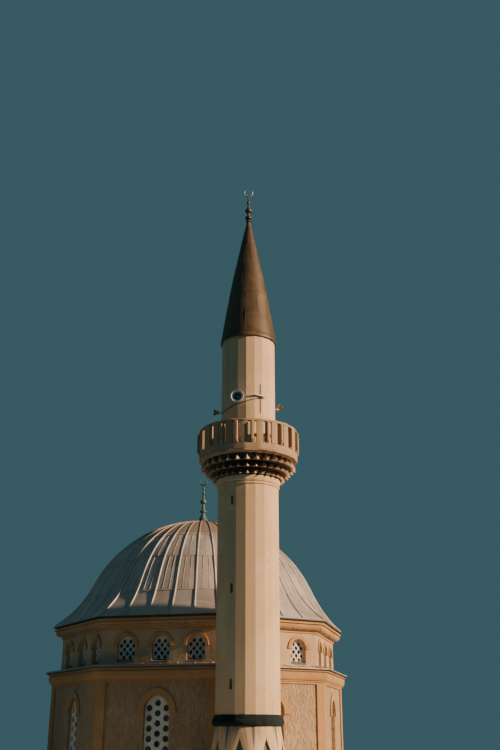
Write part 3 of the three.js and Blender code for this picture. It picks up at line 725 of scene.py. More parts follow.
# A turned shape: the profile runs from pole to pole, or is a closed loop when ring is true
def addTurned(shape, profile, steps, firstTurn=0.0, ring=False, bend=None, centre=(0, 0)):
    rows = []
    for radius, height in profile:
        if radius < 1e-6:
            rows.append([shape.verts.new((centre[0], centre[1], height))] * steps)
            continue
        row = []
        for i in range(steps):
            angle = firstTurn + 2 * math.pi * i / steps
            reach, rise = bend(radius, height, angle) if bend else (radius, height)
            spot = (centre[0] + reach * math.cos(angle), centre[1] + reach * math.sin(angle), rise)
            row.append(shape.verts.new(spot))
        rows.append(row)
    for low, high in zip(rows, rows[1:] + rows[:1] if ring else rows[1:]):
        bridge(shape, low, high)


# A thin solid between two grids of points that run the same way
def addSlab(shape, outer, inner, tone=None, layer=None):
    top, bottom = [[[shape.verts.new(point) for point in row] for row in grid] for grid in (outer, inner)]
    if layer:
        for row in top + bottom:
            for corner in row:
                corner[layer] = tone
    rows, columns = len(top), len(top[0])
    for r in range(rows - 1):
        for c in range(columns - 1):
            shape.faces.new((top[r][c], top[r][c + 1], top[r + 1][c + 1], top[r + 1][c]))
            shape.faces.new((bottom[r][c], bottom[r + 1][c], bottom[r + 1][c + 1], bottom[r][c + 1]))
    for r in range(rows - 1):
        shape.faces.new((top[r][0], top[r + 1][0], bottom[r + 1][0], bottom[r][0]))
        shape.faces.new((top[r][-1], bottom[r][-1], bottom[r + 1][-1], top[r + 1][-1]))
    for c in range(columns - 1):
        shape.faces.new((top[0][c], bottom[0][c], bottom[0][c + 1], top[0][c + 1]))
        shape.faces.new((top[-1][c], top[-1][c + 1], bottom[-1][c + 1], bottom[-1][c]))


# Two grids of points, one above the other, from a function of the shares up and across and of the layer
def layeredGrids(point, along, across, layers):
    return [
        [[point(up, side, layer) for side in shares(across)] for up in shares(along)] for layer in layers
    ]


# The dome's lead: 40 bays of lapped sheets, rolled ribs between them, and thin seams inside the bays
domeLead = {
    "radius": 4.6, "centre": 5.67, "skirtTop": 7.8, "foot": 6.18, "flarePower": 2.5, "cornerPower": 2.0,
    "bays": 40, "laps": (17.7, 35.7, 51.4), "top": 88.4, "lapReach": 0.5, "lapProud": 0.012, "lift": 0.006,
    "thickness": 0.006, "bulge": 0.011, "across": 6, "along": 12, "seed": 5,
}
domeRibs = {"radius": 0.036, "seamRadius": 0.008, "lift": 0.014, "steps": 56, "waver": 0.016, "sideCount": 8}
footElevation = math.asin((domeLead["foot"] - domeLead["centre"]) / domeLead["radius"])
bayTurn = 2 * math.pi / domeLead["bays"]


def domePoint(elevation, azimuth, lift=0.0):
    size = domeLead
    height = size["centre"] + size["radius"] * math.sin(elevation)
    reach = size["radius"] * math.cos(elevation)
    below = min(1.0, max(0.0, (size["skirtTop"] - height) / (size["skirtTop"] - size["foot"])))
    footReach = math.sqrt(size["radius"] ** 2 - (size["foot"] - size["centre"]) ** 2)
    reach += (drumEave - footReach) * below ** size["flarePower"]
    fromMiddle = azimuth - round(azimuth / faceTurn) * faceTurn
    reach *= 1 + (1 / math.cos(fromMiddle) - 1) * below ** size["cornerPower"]
    reach += lift * math.cos(elevation)
    height += lift * math.sin(elevation)
    return Vector((reach * math.cos(azimuth), reach * math.sin(azimuth), height))


def addDomeSheets(shape):
    size = domeLead
    chance = random.Random(size["seed"])
    toneLayer = shape.verts.layers.float.new("sheetTone")
    edges = [math.degrees(footElevation), *size["laps"], size["top"]]
    for bay in range(size["bays"]):
        start = (bay + 0.5) * bayTurn
        shifts = [0.0, *[chance.uniform(-0.35, 0.35) for _ in size["laps"]], 0.0]
        for tier in range(len(edges) - 1):
            low = edges[tier] + shifts[tier]
            high = edges[tier + 1] + shifts[tier + 1] + (size["lapReach"] if tier + 2 < len(edges) else 0)
            bulge = size["bulge"] * chance.uniform(0.2, 1.0) * (0.4 if tier == 0 else 1.0)
            tone = chance.random()

            def point(up, across, under):
                swell = bulge * math.sin(math.pi * across) * math.sin(math.pi * min(1, up * 1.2 + 0.1))
                lift = size["lift"] + size["lapProud"] * (1 - up) * (tier > 0) + swell - under
                return domePoint(math.radians(mixed(low, high, up)), start + bayTurn * across, lift)

            grids = layeredGrids(point, size["along"], size["across"], (0.0, size["thickness"]))
            addSlab(shape, *grids, tone, toneLayer)


# Rib and seam paths over one side of the octagon, which the rib tree turns round the dome
def domePaths():
    size = domeLead
    firstLap, secondLap, thirdLap = size["laps"]
    foot = math.degrees(footElevation)
    lines = [(0.4 * bayTurn, foot + 1.0, firstLap - 0.4, 12, False)]
    for k in range(size["bays"] // octagonSides):
        azimuth = (k - 2.5) * bayTurn
        lines.append((azimuth, foot + 0.4, size["top"], domeRibs["steps"], True))
        lines.append((azimuth + bayTurn / 2, secondLap + 0.6, thirdLap - 0.4, 14, False))
        for third in (1, 2):
            lines.append((azimuth + bayTurn * third / 3, firstLap + 0.6, secondLap - 0.4, 18, False))
    paths = []
    for azimuth, low, high, steps, isRib in lines:
        route, girths = [], []
        for share in shares(steps):
            elevation = mixed(low, high, share)
            onSheet = size["lift"] + size["lapProud"] * (1 - share) + size["bulge"] * 0.6
            taper = min(1.0, 0.45 + 1.1 * (size["top"] - elevation) / 50)
            route.append(domePoint(math.radians(elevation), azimuth, domeRibs["lift"] if isRib else onSheet))
            girths.append(domeRibs["radius"] * taper if isRib else domeRibs["seamRadius"])
        paths.append((route, girths))
    return pathMesh(paths)


placeBuilt("dome_lead_sheets", addDomeSheets, "lead_sheet", smooth=25)
placeGrown("dome_lead_ribs", domePaths(), sweptRibs, {
    "Sides": domeRibs["sideCount"], "Count": octagonSides, "Waver": domeRibs["waver"],
}, "lead_sheet")
print("dome leaded")


# Pierced screens: a pointed sheet with staggered holes, cut from flat curves and then given its thickness
hallScreen = {
    "half": 0.4347, "foot": 0.9003, "spring": 3.16, "apex": 3.6415, "wallOut": 5.02, "setBack": 0.19,
    "cut": {
        "Thickness": 0.06, "Margin": 0.10, "Hole Width": 0.200, "Hole Height": 0.200, "Hole Sides": 20,
        "Rounding": 0.0, "Columns": 4, "Column Pitch": 0.575, "Rows": 16, "Row Pitch": 0.155,
        "First Row": 1.086, "Windows": 1, "Window Pitch": 1.0, "Skip": 4,
    },
}
drumScreen = {
    "half": 0.3097, "foot": 4.6763, "spring": 5.203, "apex": 5.5406, "wallOut": 4.75, "setBack": 0.1403,
    "cut": {
        "Thickness": 0.05, "Margin": 0.08, "Hole Width": 0.160, "Hole Height": 0.195, "Hole Sides": 4,
        "Rounding": 0.018, "Columns": 5, "Column Pitch": 0.217, "Rows": 6, "Row Pitch": 0.129,
        "First Row": 4.725, "Windows": 3, "Window Pitch": 1.216, "Skip": -1,
    },
}
drumCut = drumScreen["cut"]
drumRow = {"In Row": drumCut["Windows"], "Pitch": drumCut["Window Pitch"], "Count": octagonSides}
glassPane = {"Thickness": 0.010, "Margin": 9.0}
glassGap = 0.0015


def archRadius(size):
    rise = size["apex"] - size["spring"]
    return (size["half"] ** 2 + rise ** 2) / (2 * size["half"])


# The outline of a pointed arch in X and Y, with Y as its height
def archPoints(size, steps=14):
    half, foot, spring, apex = [size[key] for key in ("half", "foot", "spring", "apex")]
    radius = archRadius(size)
    sweep = math.atan2(apex - spring, radius - half)
    turns = [sweep * share for share in shares(steps)]
    right = [(half - radius + radius * math.cos(turn), spring + radius * math.sin(turn)) for turn in turns]
    right[-1] = (0.0, apex)
    left = [(-x, y) for x, y in reversed(right[:-1])]
    return [(-half, foot), (half, foot), *right, *left]


def outlineMesh(size):
    points = [(x, y, 0) for x, y in archPoints(size)]
    mesh = bpy.data.meshes.new("arch_outline")
    mesh.from_pydata(points, [(i, (i + 1) % len(points)) for i in range(len(points))], [])
    return mesh


def screenTree():
    tree, given = newTree("piercedScreen", "GeometryNodeTree", {
        "Geometry": "Geometry", "Half": 0.4, "Foot": 0.0, "Spring": 1.0, "Arc Radius": 0.5, "Out": 5.0,
        **hallScreen["cut"], "Material": "Material",
    })

    # The spots of the holes: a grid with every other row shifted, without those too near the edge
    height = (given["Rows"] - 1.0) * given["Row Pitch"]
    grid = shapeNode(tree, "MeshGrid", {
        "Size X": (given["Columns"] - 1.0) * given["Column Pitch"], "Size Y": height,
        "Vertices X": given["Columns"], "Vertices Y": given["Rows"],
    })
    parts = addNode(tree, "ShaderNodeSeparateXYZ", {0: shapeNode(tree, "InputPosition")})
    row = (height.timesPlus(0.5, parts[1]) / given["Row Pitch"]).maths("ROUND")
    shift = row.maths("FLOORED_MODULO", 2.0) * 0.5 * given["Column Pitch"]
    stagger = vector(tree, X=shift, Y=height.timesPlus(0.5, given["First Row"]))
    spots = shapeNode(tree, "SetPosition", {"Geometry": grid, "Offset": stagger})
    side = parts[0].maths("ABSOLUTE") + (given["Arc Radius"] - given["Half"])
    above = (parts[1] - given["Spring"]).maths("MAXIMUM", 0.0)
    reach = side.timesPlus(side, above * above).maths("SQRT")
    outside = reach > given["Arc Radius"] - given["Margin"]
    dropped = outside.maths("MAXIMUM", parts[1] < given["Foot"] + given["Margin"])
    kept = shapeNode(tree, "DeleteGeometry", {"Geometry": spots, "Selection": dropped}, domain="POINT")

    # One hole on each spot, cut from the arch
    hole = shapeNode(tree, "CurvePrimitiveCircle", {"Resolution": given["Hole Sides"], "Radius": 0.5})
    holeSize = vector(tree, X=given["Hole Width"], Y=given["Hole Height"], Z=1.0)
    shaped = shapeNode(tree, "Transform", {"Geometry": hole, "Scale": holeSize})
    rounded = shapeNode(tree, "FilletCurve", {"Curve": shaped, "Radius": given["Rounding"]})
    holes = shapeNode(tree, "InstanceOnPoints", {"Points": kept, "Instance": rounded})
    realHoles = shapeNode(tree, "RealizeInstances", {0: holes})
    outline = shapeNode(tree, "MeshToCurve", {0: given["Geometry"]})
    curves = shapeNode(tree, "JoinGeometry", {0: [outline, realHoles]})
    flat = shapeNode(tree, "FillCurve", {0: curves})

    # The sheet gets its thickness and its back, stands up at its wall, and goes round the building
    depth = {"Offset Scale": given["Thickness"], "Individual": False}
    thick = shapeNode(tree, "ExtrudeMesh", {"Mesh": flat, **depth})
    back = shapeNode(tree, "FlipFaces", {0: flat})
    solid = shapeNode(tree, "JoinGeometry", {0: [thick, back]})
    closed = shapeNode(tree, "MergeByDistance", {"Geometry": solid, "Distance": 0.0001})
    upright = shapeNode(tree, "Transform", {
        "Geometry": closed, "Rotation": (math.pi / 2, 0, 0),
        "Translation": vector(tree, Y=given["Thickness"] - given["Out"]),
    })
    row = addGroup(tree, rowOfCopies, {
        "Geometry": upright, "Count": given["Windows"], "Pitch": given["Window Pitch"],
    })[0]
    ring = addGroup(tree, ringOfCopies, {"Geometry": row, "Count": octagonSides, "Skip": given["Skip"]})[0]
    return closeShape(tree, ring, given["Material"])


piercedScreen = screenTree()


# Screens, or the glass behind them, at every window but those to skip
def placeScreens(name, size, cut, out, slot, **rest):
    placeGrown(name, outlineMesh(size), piercedScreen, {
        "Half": size["half"], "Foot": size["foot"], "Spring": size["spring"], "Arc Radius": archRadius(size),
        "Out": out, **cut,
    }, slot, smooth=30, **rest)


for name, size, stem in (
    ("hall_pierced_screens", hallScreen, "hall_screen"),
    ("drum_lattice_screens", drumScreen, "drum_screens"),
):
    covered = [node for node in nodes if node.startswith(stem)]
    out = size["wallOut"] - size["setBack"]
    placeScreens(name, size, size["cut"], out, "screen_plaster", replaced=covered)
for name, size in (("hall_window_glass", hallScreen), ("drum_window_glass", drumScreen)):
    out = size["wallOut"] - size["setBack"] - size["cut"]["Thickness"] - glassGap
    placeScreens(name, size, {**size["cut"], **glassPane}, out, None, finish="window_glass")
print("screens pierced")


# Smooth wear for drawn shapes: a push that depends only on the place
def wear(x, y, z, amount, scale):
    return amount * noise.noise(Vector((x * scale, y * scale, z * scale)))


# Bends a turned shape to flat sides, whose middles lie at whole steps round the axis
def flatSided(count, amount, scale):
    step = 2 * math.pi / count

    def bend(apothem, height, angle):
        fromMiddle = angle - round(angle / step) * step
        push = wear(apothem * math.cos(angle), apothem * math.sin(angle), height, amount, scale)
        return (apothem + push) / math.cos(fromMiddle), height + 0.5 * push

    return bend


def addBox(shape, centre, size, bevel, turn=None):
    place = Matrix.Translation(centre) @ (turn or Matrix.Identity(4)) @ Matrix.Diagonal((*size, 1))
    made = bmesh.ops.create_cube(shape, size=1.0, matrix=place)
    edges = list({edge for corner in made["verts"] for edge in corner.link_edges})
    bmesh.ops.bevel(shape, geom=edges, offset=bevel, segments=2, affect="EDGES", profile=0.5)


# Runs a build step and then moves only what it has added
def addMoved(shape, matrix, build):
    before = set(shape.verts)
    build(shape)
    added = [corner for corner in shape.verts if corner not in before]
    bmesh.ops.transform(shape, matrix=matrix, verts=added)


# An upright prism whose plan may change with the height; open sides are left for a neighbour to close
def addPrism(shape, planAt, heights, openSides=()):
    rows = [[shape.verts.new((x, y, height)) for x, y in planAt(height)] for height in heights]
    for low, high in zip(rows, rows[1:]):
        bridge(shape, low, high, openSides)
    shape.faces.new(list(reversed(rows[0])))
    shape.faces.new(rows[-1])


# The cornices: a fillet, a round band that swells outwards, and flat bands up to the edge
cornices = {
    "drum_cornice": {
        "inner": 4.30, "base": 5.7403, "fillet": (4.79, 5.81), "band": (4.81, 5.02),
        "bandRise": (5.82, 5.99), "above": ((5.00, 6.035), (5.06, 6.092), (4.99, 6.1395)),
    },
    "hall_cornice": {
        "inner": 4.30, "base": 4.1203, "fillet": (5.05, 4.15), "band": (5.06, 5.15),
        "bandRise": (4.16, 4.40), "above": ((5.12, 4.455), (5.175, 4.494), (5.10, 4.5295)),
    },
}
corniceShape = {"bandSteps": 7, "stepsPerSide": 16, "wear": 0.012, "wearScale": 1.8}


# A half round that bulges from one reach to another
def halfRound(steps, near, far, middle, half):
    angles = [math.pi * (share - 0.5) for share in shares(steps)]
    return [(mixed(near, far, math.cos(angle)), middle + half * math.sin(angle)) for angle in angles]


# A quarter round: from a low, near point outwards and up
def quarterRound(steps, low, high, foot, head):
    angles = [math.pi / 2 * share for share in shares(steps)]
    return [(mixed(low, high, math.sin(angle)), mixed(foot, head, 1 - math.cos(angle))) for angle in angles]


def corniceProfile(size):
    filletOut, filletTop = size["fillet"]
    points = [(size["inner"], size["base"]), (filletOut, size["base"]), (filletOut, filletTop)]
    points += quarterRound(corniceShape["bandSteps"], *size["band"], *size["bandRise"])
    height = size["bandRise"][1]
    for out, top in size["above"]:
        points += [(out, height), (out, top)]
        height = top
    return points + [(size["inner"], height)]


def addEightSided(shape, profile, amount=0.0, scale=2.4):
    steps = octagonSides * corniceShape["stepsPerSide"]
    addTurned(shape, profile, steps, halfTurn, ring=True, bend=flatSided(octagonSides, amount, scale))


for name, size in cornices.items():
    placeBuilt(name + "_moulding", lambda shape: addEightSided(
        shape, corniceProfile(size), corniceShape["wear"], corniceShape["wearScale"],
    ), "ochre_plaster", replaced=(name,), smooth=35)


# Profile points given by their offsets from one point
def offsetFrom(reach, height, offsets):
    return [(reach + out, height + up) for out, up in offsets]


# Sheet lead on the two ledges: a turned-down lip, a sloping sheet, and rolls over the joints and the corners
skirtLead = {
    "inner": 4.76, "under": 4.5355, "lipIn": 5.200, "lipOut": 5.236, "lipFoot": 4.498, "lipTop": 4.574,
    "head": 4.645, "lipSteps": 8, "wear": 0.016, "rolls": 7, "rollPitch": 0.60, "rollRadius": 0.020,
    "hipRadius": 0.028, "rollSteps": 6, "rollSides": 10,
}
eaveLead = {
    "inner": 4.995, "out": 5.108, "foot": 6.1405, "top": 6.190, "wear": 0.012,
    "lip": ((-0.025, -0.0495), (-0.004, -0.042), (0.0, -0.006), (-0.008, 0.0)),
}


def skirtRollPaths():
    size = skirtLead
    paths = []
    spots = [size["rollPitch"] * (k - (size["rolls"] - 1) / 2) for k in range(size["rolls"])]
    lines = [(across, 0.0, size["rollRadius"]) for across in spots]
    for across, corner, girth in [*lines, (0.0, halfTurn, size["hipRadius"])]:
        route = []
        for share in shares(size["rollSteps"]):
            out = mixed(size["lipIn"], size["inner"], share) / math.cos(corner)
            height = mixed(size["lipTop"], size["head"], share)
            route.append(Vector((across + out * math.sin(corner), -out * math.cos(corner), height)))
        nose = size["lipOut"] / size["lipIn"]
        route.insert(0, Vector((route[0].x, route[0].y * nose, (size["lipTop"] + size["lipFoot"]) / 2)))
        paths.append((route, [girth] * len(route)))
    return pathMesh(paths)


def skirtProfile():
    size = skirtLead
    middle = (size["lipFoot"] + size["lipTop"]) / 2
    half = (size["lipTop"] - size["lipFoot"]) / 2
    points = [(size["inner"], size["under"]), (size["lipIn"] - 0.02, size["under"])]
    points += halfRound(size["lipSteps"], size["lipIn"], size["lipOut"], middle, half)
    return points + [(size["inner"], size["head"])]


def eaveProfile():
    size = eaveLead
    lip = offsetFrom(size["out"], size["top"], size["lip"])
    return [(size["inner"], size["foot"]), *lip, (size["inner"], size["top"])]


placeBuilt("hall_roof_lead", lambda shape: addEightSided(
    shape, skirtProfile(), skirtLead["wear"],
), "lead_sheet", replaced=("hall_roof",), smooth=35)
placeGrown("hall_roof_rolls", skirtRollPaths(), sweptRibs, {
    "Sides": skirtLead["rollSides"], "Count": octagonSides, "Waver": skirtLead["wear"],
}, "lead_sheet")
placeBuilt("dome_eave_lead", lambda shape: addEightSided(
    shape, eaveProfile(), eaveLead["wear"],
), "lead_sheet", smooth=35)
print("cornices and ledges made")


# Sills: uneven mortar at the drum windows and dressed slabs at the hall windows, drawn for face 1
sills = {
    "drum": {
        "half": 0.306, "front": 4.758, "back": 4.612, "frontTop": 4.748, "backTop": 4.800, "foot": 4.7253,
        "droop": 0.030, "wear": 0.030, "scale": 9.0, "columns": 16, "rows": 6,
    },
    "hall": {
        "half": 0.530, "front": 5.062, "back": 4.835, "frontTop": 0.925, "backTop": 0.955, "foot": 0.868,
        "droop": 0.0, "wear": 0.004, "scale": 4.0, "columns": 12, "rows": 5,
    },
}
drumShelf = {"inner": 4.172, "out": 4.2497, "foot": 4.6765, "top": 4.7245, "tongueOut": 4.60, "half": 0.309}


def sillMesh(size):
    def point(inwards, across, isUnder):
        x = size["half"] * (2 * across - 1)
        y = -mixed(size["front"], size["back"], inwards)
        push = wear(x, y, size["foot"], size["wear"], size["scale"])
        sag = size["droop"] * max(0.0, 1 - 3 * inwards)
        height = size["foot"] if isUnder else mixed(size["frontTop"], size["backTop"], inwards) + push
        return Vector((x, y - abs(push) * (inwards == 0), height - sag))

    def build(shape):
        addSlab(shape, *layeredGrids(point, size["rows"], size["columns"], (False, True)))

    return builtMesh("sill", build)


def addShelf(shape):
    size = drumShelf
    corners = [("inner", "foot"), ("out", "foot"), ("out", "top"), ("inner", "top")]
    addEightSided(shape, [(size[out], size[height]) for out, height in corners])


def addTongue(shape):
    size = drumShelf
    out, tongueOut, foot, top = [size[key] for key in ("out", "tongueOut", "foot", "top")]
    centre = (0, -(tongueOut + out) / 2, (foot + top) / 2)
    addBox(shape, centre, (2 * size["half"], tongueOut - out, top - foot), 0.004)


placeGrown("drum_window_mortar", sillMesh(sills["drum"]), repeatedRound, {
    **drumRow, "Waver": 0.02, "Scale": 5.0,
}, "screen_plaster", finish="mortar", smooth=50)
placeGrown("hall_window_sills", sillMesh(sills["hall"]), repeatedRound, {
    "Count": octagonSides, "Skip": hallScreen["cut"]["Skip"], "Waver": 0.004,
}, "floor_stone", smooth=40)
placeBuilt("drum_inner_shelf", addShelf, "screen_plaster", smooth=35)
placeGrown("drum_shelf_tongues", builtMesh("tongue", addTongue), repeatedRound, drumRow, "screen_plaster")
print("sills laid")


# The minaret's turned mouldings have twenty flat sides, and their sizes run to the corners
minaretSides = 20
minaretStep = 2 * math.pi / minaretSides
toFlat = math.cos(minaretStep / 2)
towerRing = {"Count": minaretSides, "Centre": towerAxis}
toTower = Matrix.Translation(towerAxis)


def addTwentySided(shape, profile, bend, perSide=5):
    flats = [(radius * toFlat, height) for radius, height in profile]
    addTurned(shape, flats, minaretSides * perSide, minaretStep / 2, True, bend, (tower.x, tower.y))


collarStone = {
    "bore": 0.72, "below": ((1.035, 9.9903), (1.035, 10.036), (1.004, 10.044), (1.004, 10.062)),
    "swell": (1.022, 1.072), "swellFoot": 10.074, "top": 10.2547, "steps": 6, "wear": 0.008,
}
ringStone = {
    "bore": 0.72, "radius": 1.0, "bulge": 0.105, "base": 2.6755, "rollTop": 2.902, "top": 3.008, "steps": 12,
    "band": (1.052, 1.018), "bandEdge": 0.012, "wear": 0.022,
}


def addCollar(shape):
    size = collarStone
    profile = [(size["bore"], size["below"][0][1]), *size["below"]]
    profile += quarterRound(size["steps"], *size["swell"], size["swellFoot"], size["top"])
    profile.append((size["bore"], size["top"]))
    addTwentySided(shape, profile, flatSided(minaretSides, size["wear"], 3.0))


def addRing(shape):
    size = ringStone
    bandFoot, bandHead = size["band"]
    base, rollTop, top, edge = size["base"], size["rollTop"], size["top"], size["bandEdge"]
    profile = [(size["bore"], base)]
    for share in shares(size["steps"]):
        angle = math.pi * (share - 0.5)
        reach = size["radius"] + size["bulge"] * math.cos(angle)
        if angle < 0 or reach > bandFoot:
            profile.append((reach, (base + rollTop + (rollTop - base) * math.sin(angle)) / 2))
    profile += [(bandFoot, rollTop), (bandHead, top - edge), (bandHead - edge, top), (size["bore"], top)]
    addTwentySided(shape, profile, flatSided(minaretSides, size["wear"], 6.0))


# Carved corbels: three tiers of pointed pendants with deep niches between them; one strip, thirty times
corbels = {
    "count": 30, "columns": 16, "rows": 10, "tipRise": 0.060, "narrowing": 1.5, "fading": 0.55,
    "wear": 0.018,
    "tiers": (
        {"foot": 10.2555, "head": 10.4400, "bore": 0.95, "core": 1.062, "ridge": 1.205},
        {"foot": 10.4405, "head": 10.6250, "bore": 1.05, "core": 1.190, "ridge": 1.412},
        {"foot": 10.6255, "head": 10.8900, "bore": 1.25, "core": 1.385, "ridge": 1.585},
    ),
}


# Reach, height and the depth of the niche
def corbelPoint(tier, along, share):
    width = max(0.03, 1 - corbels["narrowing"] * share)
    tongue = max(0.0, 1 - along / width) ** 0.8 * (1 - corbels["fading"] * share ** 1.5)
    foot = tier["foot"] + corbels["tipRise"] * along
    return mixed(tier["core"], tier["ridge"], tongue), mixed(foot, tier["head"], share), 1 - tongue


def addCorbelStrip(shape):
    niche = shape.verts.layers.float.new("niche")
    for tier in corbels["tiers"]:
        bore, head = tier["bore"], tier["head"]
        under = tier["foot"] + corbels["tipRise"] * 0.6
        sections = []
        for column in shares(corbels["columns"]):
            side = 2 * column - 1
            angle = -math.pi / 2 + side * math.pi / corbels["count"]
            outline = [(bore, head, 1), (bore, under, 1), (tier["core"] - 0.02, under, 1)]
            outline += [corbelPoint(tier, abs(side), share) for share in shares(corbels["rows"])]
            section = []
            for reach, height, depth in outline:
                corner = shape.verts.new((reach * math.cos(angle), reach * math.sin(angle), height))
                corner[niche] = depth
                section.append(corner)
            sections.append(section)
        for left, right in zip(sections, sections[1:]):
            for i in range(len(left)):
                j = (i + 1) % len(left)
                shape.faces.new((left[i], right[i], right[j], left[j]))


# The balcony's wall: a rim with a worn foot, posts and fins between the slots, and a coping
balconyStone = {
    "radius": 1.645, "wall": 0.09, "foot": 10.8905, "rimTop": 11.185, "copingFoot": 11.893, "top": 11.970,
    "slotHalf": 0.042, "slotOffset": 0.097, "finHalf": 0.043, "finProud": 0.090, "chamfer": 0.012,
    "reachIn": 0.012, "overhang": 0.012, "rows": 10, "wear": 0.012, "chip": 0.050,
    "rimFoot": (
        (-0.05, 0.0), (-0.012, 0.004), (0.004, 0.018), (0.004, 0.040), (-0.010, 0.052), (0.0, 0.075),
    ),
    "rimHead": ((0.0, -0.010), (-0.012, 0.0)),
    "copingEdge": ((0.010, 0.0), (0.016, 0.014)), "copingTop": ((0.014, -0.022), (-0.004, 0.0)),
    "copingBack": ((-0.006, 0.0), (-0.014, -0.012)),
}


def rimBend(apothem, height, angle):
    size = balconyStone
    reach, rise = flatSided(minaretSides, size["wear"], 3.0)(apothem, height, angle)
    if height < size["foot"] + 0.06 and apothem > size["radius"] * toFlat - 0.06:
        chipped = max(0.0, noise.noise(Vector((4.2 * math.cos(angle), 4.2 * math.sin(angle), 0.7))) + 0.05)
        rise += size["chip"] * chipped
        reach -= 0.4 * size["chip"] * chipped
    return reach, rise


def addRimAndCoping(shape):
    size = balconyStone
    foot, rimTop, copingFoot, top = [size[key] for key in ("foot", "rimTop", "copingFoot", "top")]
    outer = size["radius"]
    inner = outer - size["wall"]
    rim = [
        (inner, foot), *offsetFrom(outer, foot, size["rimFoot"]),
        *offsetFrom(outer, rimTop, size["rimHead"]), (inner, rimTop),
    ]
    coping = [
        (inner - size["overhang"], copingFoot), *offsetFrom(outer, copingFoot, size["copingEdge"]),
        *offsetFrom(outer, top, size["copingTop"]), *offsetFrom(inner, top, size["copingBack"]),
    ]
    addTwentySided(shape, rim, rimBend, perSide=8)
    addTwentySided(shape, coping, flatSided(minaretSides, size["wear"], 3.0))


def addBalconyBay(shape):
    size = balconyStone
    front = size["radius"] * toFlat
    back = (size["radius"] - size["wall"]) * toFlat
    slope = math.tan(minaretStep / 2)
    near = size["slotOffset"] - size["slotHalf"]
    far = size["slotOffset"] + size["slotHalf"]
    cut = size["chamfer"]
    low = size["rimTop"] - size["reachIn"]
    high = size["copingFoot"] + size["reachIn"]
    heights = [mixed(low, high, share) for share in shares(size["rows"])]

    def finPlan(height):
        share = (height - low) / (high - low)
        tip = front + size["finProud"] * min(1.0, 0.25 + 9 * min(share, 1 - share))
        half = size["finHalf"]
        right = [(half - cut, -tip), (half, -tip + cut), (half, -front), (near, -front), (near, -back)]
        return right + [(-x, y) for x, y in reversed(right)]

    post = [
        (far, -back), (far, -front + cut), (far + cut, -front), (front * slope, -front),
        (back * slope, -back),
    ]
    addPrism(shape, finPlan, heights)
    for side in (-1, 1):
        addPrism(shape, lambda height: [(side * x, y) for x, y in post], heights, openSides=(3,))


placeBuilt("collar_moulding", addCollar, "cream_render", replaced=("minaret_collar",), smooth=30)
placeBuilt("ring_moulding", addRing, "dark_stone", replaced=("minaret_ring",), smooth=40)
corbelTiers = [node for node in nodes if node.startswith("corbel_tier")]
placeGrown("carved_corbels", builtMesh("corbel_strip", addCorbelStrip), repeatedRound, {
    **towerRing, "Count": corbels["count"], "Waver": corbels["wear"], "Scale": 4.0,
}, "cream_render", finish="carved_render", smooth=24, replaced=corbelTiers)
placeBuilt(
    "balcony_rim_and_coping", addRimAndCoping, "cream_render", replaced=("balcony_parapet",), smooth=35,
    finish="balcony_render",
)
placeGrown("balcony_posts", builtMesh("balcony_bay", addBalconyBay), repeatedRound, {
    **towerRing, "Waver": balconyStone["wear"],
}, "cream_render", finish="balcony_render", smooth=35)
print("minaret carved")


# The spire's lead: three tiers of lapped sheets, welted seams and a lip that drips clear of the shaft
spireLead = {
    "radius": 0.965, "foot": 15.2633, "base": 15.2243, "apex": 20.153, "tip": 0.060, "swell": 0.045,
    "steps": 72, "laps": (15.37, 16.98, 19.10), "rows": 9, "proud": 0.007, "wear": 0.016, "wearScale": 2.2,
    "lip": ((0.925, 15.2243), (0.930, 15.204), (0.972, 15.200)), "seams": 12, "seamStart": -83.5,
    "seamRadius": 0.0035, "seamSteps": 14, "seamSides": 6, "seamTop": 19.903, "splitRadius": 0.007,
}


# Radius and height up one tier of sheets, which stand proud at their foot
def spireTier(low, high, steps):
    size = spireLead
    points = []
    for up in shares(steps):
        height = mixed(low, high, up)
        share = (height - size["foot"]) / (size["apex"] - size["foot"])
        reach = mixed(size["radius"], size["tip"], share) + size["swell"] * math.sin(math.pi * share)
        points.append((reach + size["proud"] * (1 - up), height))
    return points


def wornSpire(radius, height, angle):
    x, y = radius * math.cos(angle), radius * math.sin(angle)
    return radius + wear(x, y, height, spireLead["wear"], spireLead["wearScale"]), height


def addSpire(shape):
    size = spireLead
    edges = [size["foot"], *size["laps"], size["apex"]]
    profile = [(0.0, size["base"]), *size["lip"], (size["radius"] + size["proud"], size["base"])]
    for low, high in zip(edges, edges[1:]):
        profile += spireTier(low, high, size["rows"])
    profile.append((0.0, size["apex"]))
    addTurned(shape, profile, size["steps"], bend=wornSpire, centre=(tower.x, tower.y))


def onTurn(turn, points):
    return [Vector((reach * math.cos(turn), reach * math.sin(turn), height)) for reach, height in points]


def spireSeams():
    size = spireLead
    laps = size["laps"]
    paths = []
    for tier, (low, high) in enumerate(zip(laps, [*laps[1:], size["seamTop"]])):
        turn = math.radians(size["seamStart"] + 180 / size["seams"] * (tier % 2))
        route = onTurn(turn, spireTier(low, high, size["seamSteps"]))
        paths.append((route, [size["seamRadius"] * (1 - 0.5 * tier / len(laps))] * len(route)))
    return paths


def placeOnTower(name, paths, slot, count, sides, waver):
    placeGrown(name, pathMesh(paths), sweptRibs, {
        "Sides": sides, "Count": count, "Centre": towerAxis, "Waver": waver,
    }, slot)


seams = spireSeams()
splitRoute = seams[0][0]
placeBuilt("spire_lead", addSpire, "cone_lead", replaced=("spire_cone",), smooth=40)
placeOnTower("spire_seams", seams, "cone_lead", spireLead["seams"], spireLead["seamSides"], 0.02)
placeOnTower(
    "spire_split_seam", [(splitRoute, [spireLead["splitRadius"]] * len(splitRoute))], "cone_lead", 1,
    spireLead["seamSides"], 0.05,
)
print("spire leaded")


